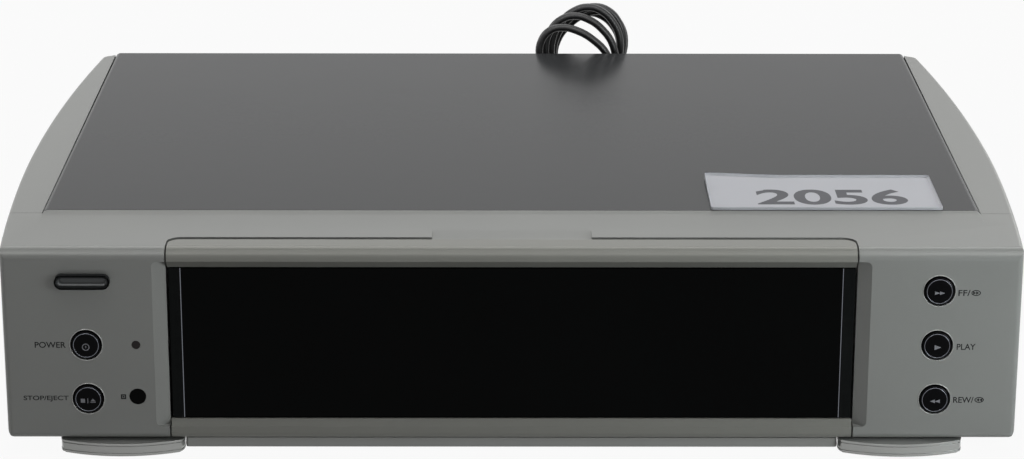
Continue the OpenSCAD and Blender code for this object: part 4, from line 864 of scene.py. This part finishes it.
# %% Sign beside the remote window
SIGN_X = (-166.6, -164.4)
SIGN_UP = (-0.2, 2)
SIGN_LINE = 0.55
SIGN_DOT_IN = 0.7
z = height_of("stop_eject_button")
sign_box = (*SIGN_X, z + SIGN_UP[0], z + SIGN_UP[1])
square = outline(sign_box, FRONT, front_y, SIGN_LINE, 4, SQUARE)
dot = plate(24, shrunk(sign_box, SIGN_DOT_IN), FRONT, front_y)
joined([square, dot], "icon_remote_window", "print_dark")
print("the sign is", round(SIGN_X[1] - SIGN_X[0], 1), "mm wide")

# %% [markdown]
# The window has a slightly lighter strip at both ends. Where each strip begins, a thin line of bright metal
# is a painted highlight of the step's edge. Two more materials on the window's own faces would do for the
# strips, but not for the lines, so both are thin plates that ride on the door.

# %% Window ends
END_STRIP = 5.2 * MM
END_INSET = 0.4
STEP_HIGHLIGHT_HALF = 0.15
low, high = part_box("door_window")
z_low, z_high = low.z / MM + END_INSET, high.z / MM - END_INSET
for side, outer, inner in (("left", low.x, low.x + END_STRIP), ("right", high.x, high.x - END_STRIP)):
    x_low, x_high = sorted((outer / MM, inner / MM))
    strip = plate(4, (x_low + END_INSET, x_high, z_low, z_high), FRONT, low.y, SQUARE)
    hand_over(strip, "window_strip_" + side, "window_edge", "door")
    # A painted highlight: a thin line of bright metal along the step's edge.
    step_highlight_box = (inner / MM - STEP_HIGHLIGHT_HALF, inner / MM + STEP_HIGHLIGHT_HALF, z_low, z_high)
    line = plate(4, step_highlight_box, FRONT, low.y, SQUARE, 2 * PRINT_T)
    hand_over(line, "window_step_highlight_" + side, "cap_ring", "door")
print("window strips are", round(END_STRIP / MM, 1), "mm wide")

# %% [markdown]
# In the upper left corner is a plain dark bar with a rim: two plates with rounded corners, one on the other.
# A torus stretched round the bar would give a rounder rim, but a flat one sits better on the flat front.

# %% Badge bar
BADGE = (-192.6, -169.3, 75.3, 81.7)
BADGE_RIM = 0.6


def rounded_plate(box, side, level, thick, radius, segments=6):
    """A plate with rounded corners that stands on a panel."""
    made = plate(4, box, side, level, SQUARE, thick)
    alone(made)
    bpy.ops.object.transform_apply(location=True, rotation=True, scale=True)
    thin = 3 - sum(side["flat"])
    for edge in made.data.edges:
        a, b = (made.data.vertices[i].co for i in edge.vertices)
        edge.select = abs(a[thin] - b[thin]) > thick
    bpy.ops.object.mode_set(mode="EDIT")
    bpy.ops.mesh.select_mode(type="EDGE")
    bpy.ops.mesh.bevel(offset=radius * MM, segments=segments)
    bpy.ops.object.mode_set(mode="OBJECT")
    return made


badge_rim = rounded_plate(BADGE, FRONT, front_y, 0.25 * MM, 3)
hand_over(badge_rim, "badge_bar_rim", "print_dark")
badge_face = rounded_plate(shrunk(BADGE, BADGE_RIM), FRONT, front_y - 0.2 * MM, 0.2 * MM, 2.4)
hand_over(badge_face, "badge_bar", "badge_dark")
print("the bar is", round(BADGE[1] - BADGE[0], 1), "mm long")

# %% [markdown]
# A paper label with a stock number lies on the cover. It is a thin sheet whose back left corner has come
# loose. Cloth simulation could curl it too, but lifting one corner by a millimetre with proportional editing
# gives the same soft bend at once.

# %% Paper label
LABEL = (87, 188, 50.6, 99)
NUMBER = (108, 174.5, 58, 80.5)
PAPER_T = 0.06 * MM
PAPER_CORNER = 1.2
CURL_PICK = 3 * MM
CURL_UP = 1.1 * MM
CURL_REACH = 30 * MM


def behind_front(box):
    """A box on the cover, given by its depth behind the front, in the frame's places."""
    left, right, near, far = box
    return (left, right, near + front_y / MM, far + front_y / MM)


label = rounded_plate(behind_front(LABEL), TOP, cover_top + PAPER_T, PAPER_T, PAPER_CORNER, 3)
alone(label)
bpy.ops.object.mode_set(mode="EDIT")
bpy.ops.mesh.select_all(action="SELECT")
bpy.ops.mesh.poke()
bpy.ops.mesh.subdivide(number_cuts=5)
bpy.ops.object.mode_set(mode="OBJECT")
loose_corner = Vector((LABEL[0] * MM, behind_front(LABEL)[3] * MM, cover_top))
pick_vertices(label, lambda place: (place - loose_corner).length < CURL_PICK)
bpy.ops.transform.translate(
    value=(0, 0, CURL_UP), use_proportional_edit=True, proportional_edit_falloff="SMOOTH",
    proportional_size=CURL_REACH,
)
bpy.ops.object.mode_set(mode="OBJECT")
bpy.ops.object.shade_smooth_by_angle(angle=math.radians(30))
hand_over(label, "paper_label", "label_paper")
number_level = cover_top + 2 * PAPER_T
print_words("2056", behind_front(NUMBER), TOP, number_level, "label_ink", slot="cover_steel", bold=0.025)
print("the label lies", LABEL[2], "mm behind the front")

# %% [markdown]
# Behind the door are small keys, three phono sockets and the display, each with its usual word, and the
# phono sockets have the coloured collars of their signals: yellow for the picture, white and red for sound.
# A collar could be cut from a tube. A ring of round wire catches the light better and is one step.

# %% Behind the door
PANEL_PRINT = {"finish": "print_light", "slot": "black_plastic"}
KEY_WORDS = {"channel_down_key": "CH -", "channel_up_key": "CH +", "record_key": "REC", "pause_key": "PAUSE"}
SOCKET_WORDS = (("VIDEO", "yellow"), ("L", "white"), ("R", "red"))
SMALL_H = 1.7
KEY_WORD_UP = 1.4
KEY_LETTER = 1.5
SOCKET_LETTER = 1.4
SOCKET_EDGE = 5.5 * MM
SOCKET_WORD_UP = 6.6
AUDIO_UP = 9.6
AUDIO_HALF = 3.4
COLLAR_R = 5.1
COLLAR_WIRE = 0.5
panel_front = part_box("inner_panel")[0].y


def collar(name, x, y, z, colour):
    """A coloured ring round a phono socket."""
    return hand_over(ring_at((x, y, z), COLLAR_R, COLLAR_WIRE), name, "signal_" + colour)


for node, words in KEY_WORDS.items():
    low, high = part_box(node)
    x, z = (low.x + high.x) / 2 / MM, high.z / MM + KEY_WORD_UP
    half = len(words) * KEY_LETTER / 2
    print_words(words, (x - half, x + half, z, z + SMALL_H), FRONT, panel_front, **PANEL_PRINT)

low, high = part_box("front_sockets")
row_z = (low.z + high.z) / 2
pitch = (high.x - low.x - 2 * SOCKET_EDGE) / 2
for i, (words, colour) in enumerate(SOCKET_WORDS):
    x = low.x + SOCKET_EDGE + i * pitch
    collar("front_collar_" + colour, x, panel_front, row_z, colour)
    half = len(words) * SOCKET_LETTER / 2
    z = row_z / MM + SOCKET_WORD_UP
    print_words(words, (x / MM - half, x / MM + half, z, z + SMALL_H), FRONT, panel_front, **PANEL_PRINT)
x = (low.x + SOCKET_EDGE + 1.5 * pitch) / MM
z = row_z / MM + AUDIO_UP
print_words("AUDIO", (x - AUDIO_HALF, x + AUDIO_HALF, z, z + SMALL_H), FRONT, panel_front, **PANEL_PRINT)
print("front sockets", round(pitch / MM, 1), "mm apart")

# %% [markdown]
# The rear has its words too, printed in a light grey, and details that are too fine for the engineering
# model: the contacts in the scart sockets and the coloured collars.

# %% Rear details
SCART_X = (-62, -124)
SCART_Z = 48.5
CONTACTS = 10
CONTACT_PITCH = 3.6
CONTACT_ROW = 2.4
CONTACT_SIZE = (2, 4, 0.5)
CONTACT_DEEP = 1.2 * MM
PHONO_X = {"red": -178, "white": -164}
PHONO_Z = (55.5, 41.5)
REAR_WORD_HALF = 1
# Words, middle across, middle up and half their length
REAR_WORDS = (
    ("AV 1", -62, 62, 4), ("AV 2", -124, 62, 4), ("AUDIO OUT", -171, 65.6, 8.5),
    ("AERIAL IN", 128, 72, 7.6), ("AERIAL OUT", 128, 26.5, 8.6),
)
rear_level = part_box("rear_panel")[1].y

contact_parts = []
for middle in SCART_X:
    for i in range(CONTACTS):
        x = middle + (i - (CONTACTS - 1) / 2) * CONTACT_PITCH
        for row in (-CONTACT_ROW, CONTACT_ROW):
            bpy.ops.mesh.primitive_cube_add(
                size=1, location=(x * MM, rear_level - CONTACT_DEEP, (SCART_Z + row) * MM),
                scale=Vector(CONTACT_SIZE) * MM,
            )
            contact_parts.append(bpy.context.object)
joined(contact_parts, "scart_contacts", "gold_plate")

for words, x, z, half in REAR_WORDS:
    box = (x - half, x + half, z - REAR_WORD_HALF, z + REAR_WORD_HALF)
    print_words(words, box, REAR, rear_level, "print_light", slot="rear_steel")
for z in PHONO_Z:
    for colour, x in PHONO_X.items():
        collar(f"rear_collar_{colour}_{round(z)}", x * MM, rear_level, z * MM, colour)
print("scart contacts:", len(contact_parts))

# %% [markdown]
# The room is a plain studio. Most of the light comes from behind and above, from a wide soft box and a
# smaller one to its right: it fills the top surfaces and draws a bright line along every upper edge. A weak
# box overhead, one low and near on the right, a small cool one close to the right end and a larger one far
# on the left model the front and the sides. A strip and two small sparks high in front are seen by gloss
# alone, so they draw soft bright lines along the roundings and glints on the buttons, and leave the flat
# faces as they are. One large lamp would be simpler, but would show every face in the same grey.

# %% Lamps
BOXES = (
    ("box_behind", (0, 0.75, 1.3), (0, 0, 0.05), (1.6, 0.7), 9.4),
    ("box_behind_right", (0.9, 1.1, 0.7), (0.1, 0, 0.05), (0.7, 0.5), 3),
    ("box_overhead", (0, -0.45, 1.35), (0, -0.05, 0.05), (1.2, 0.5), 3.6),
    ("box_near_right", (0.75, -0.8, 0.35), (0.2, -0.16, 0.05), (0.35, 0.5), 2.5),
    ("box_left", (-1.3, 0.2, 0.7), (-0.1, 0, 0.05), (0.7, 0.6), 4.5),
)
GLOSS_ONLY = (
    ("strip_for_gloss", (0, -1.1, 1.25), (0, -0.16, 0.08), (2.2, 0.35), 8),
    ("spark_left", (-0.6, -0.8, 1.25), (0, -0.16, 0.08), (0.2, 0.2), 1.5),
    ("spark_right", (0.6, -0.8, 1.25), (0, -0.16, 0.08), (0.2, 0.2), 1.5),
)


def soft_box(name, place, aim, size, power):
    """A rectangular lamp at a place that looks at its aim."""
    bpy.ops.object.light_add(type="AREA", location=place)
    lamp = bpy.context.object
    lamp.name = name
    lamp.data.shape = "RECTANGLE"
    lamp.data.size, lamp.data.size_y = size
    lamp.data.energy = power
    lamp.rotation_euler = (Vector(aim) - Vector(place)).to_track_quat("-Z", "Y").to_euler()
    lamp.visible_camera = False
    return lamp


for name, place, aim, size, power in BOXES:
    soft_box(name, place, aim, size, power)
cool = soft_box("box_beside_right_end", (0.46, -0.38, 0.14), (0.2, -0.16, 0.06), (0.15, 0.2), 0.5)
cool.data.color = (0.86, 0.98, 1)
for name, place, aim, size, power in GLOSS_ONLY:
    soft_box(name, place, aim, size, power).visible_diffuse = False

# %% [markdown]
# The floor and the background look white to the camera and in reflections, while the light that they send
# onto the object stays modest. A white floor under stronger lamps would look much the same, but it would
# wash out the underside. The floor stays a little short of plain white, so that the object's shadow shows.

# %% Floor and background
FLOOR_WHITE = 0.94
SEEN_BY = ("Is Camera Ray", "Is Glossy Ray", "Is Transmission Ray")


def seen_white(tree, plain, share):
    """Mixes a shader with plain white for what the camera, gloss and glass see."""
    path = tree.nodes.new("ShaderNodeLightPath")
    glow = tree.nodes.new("ShaderNodeEmission" if plain.type != "BACKGROUND" else "ShaderNodeBackground")
    glow.inputs["Color"].default_value = (1, 1, 1, 1)
    glow.inputs["Strength"].default_value = 1
    first, second, third = (path.outputs[name] for name in SEEN_BY)
    seen = calculate(tree, "MAXIMUM", calculate(tree, "MAXIMUM", first, second), third)
    mix = tree.nodes.new("ShaderNodeMixShader")
    tree.links.new(calculate(tree, "MULTIPLY", seen, share), mix.inputs[0])
    tree.links.new(plain.outputs[0], mix.inputs[1])
    tree.links.new(glow.outputs[0], mix.inputs[2])
    return mix.outputs[0]


def make_floor():
    """A large pale floor."""
    bpy.ops.mesh.primitive_plane_add(size=12)
    floor = bpy.context.object
    floor.name = "studio_floor"
    material = bpy.data.materials.new("pale_floor")
    material.use_nodes = True
    tree = material.node_tree
    base = tree.nodes["Principled BSDF"]
    base.inputs["Base Color"].default_value = (0.38, 0.38, 0.38, 1)
    base.inputs["Roughness"].default_value = 0.9
    base.inputs["Specular IOR Level"].default_value = 0.1
    surface = tree.nodes["Material Output"].inputs["Surface"]
    tree.links.new(seen_white(tree, base, FLOOR_WHITE), surface)
    floor.data.materials.append(material)


def make_world():
    """A faint cool sky that looks white."""
    world = bpy.data.worlds.new("studio_world")
    bpy.context.scene.world = world
    world.use_nodes = True
    tree = world.node_tree
    sky = tree.nodes["Background"]
    sky.inputs["Color"].default_value = (0.92, 0.94, 1, 1)
    sky.inputs["Strength"].default_value = 0.04
    tree.links.new(seen_white(tree, sky, 1), tree.nodes["World Output"].inputs["Surface"])


make_floor()
make_world()
bpy.context.scene.view_settings.view_transform = "Standard"
print("the floor looks", round(100 * FLOOR_WHITE), "% white")
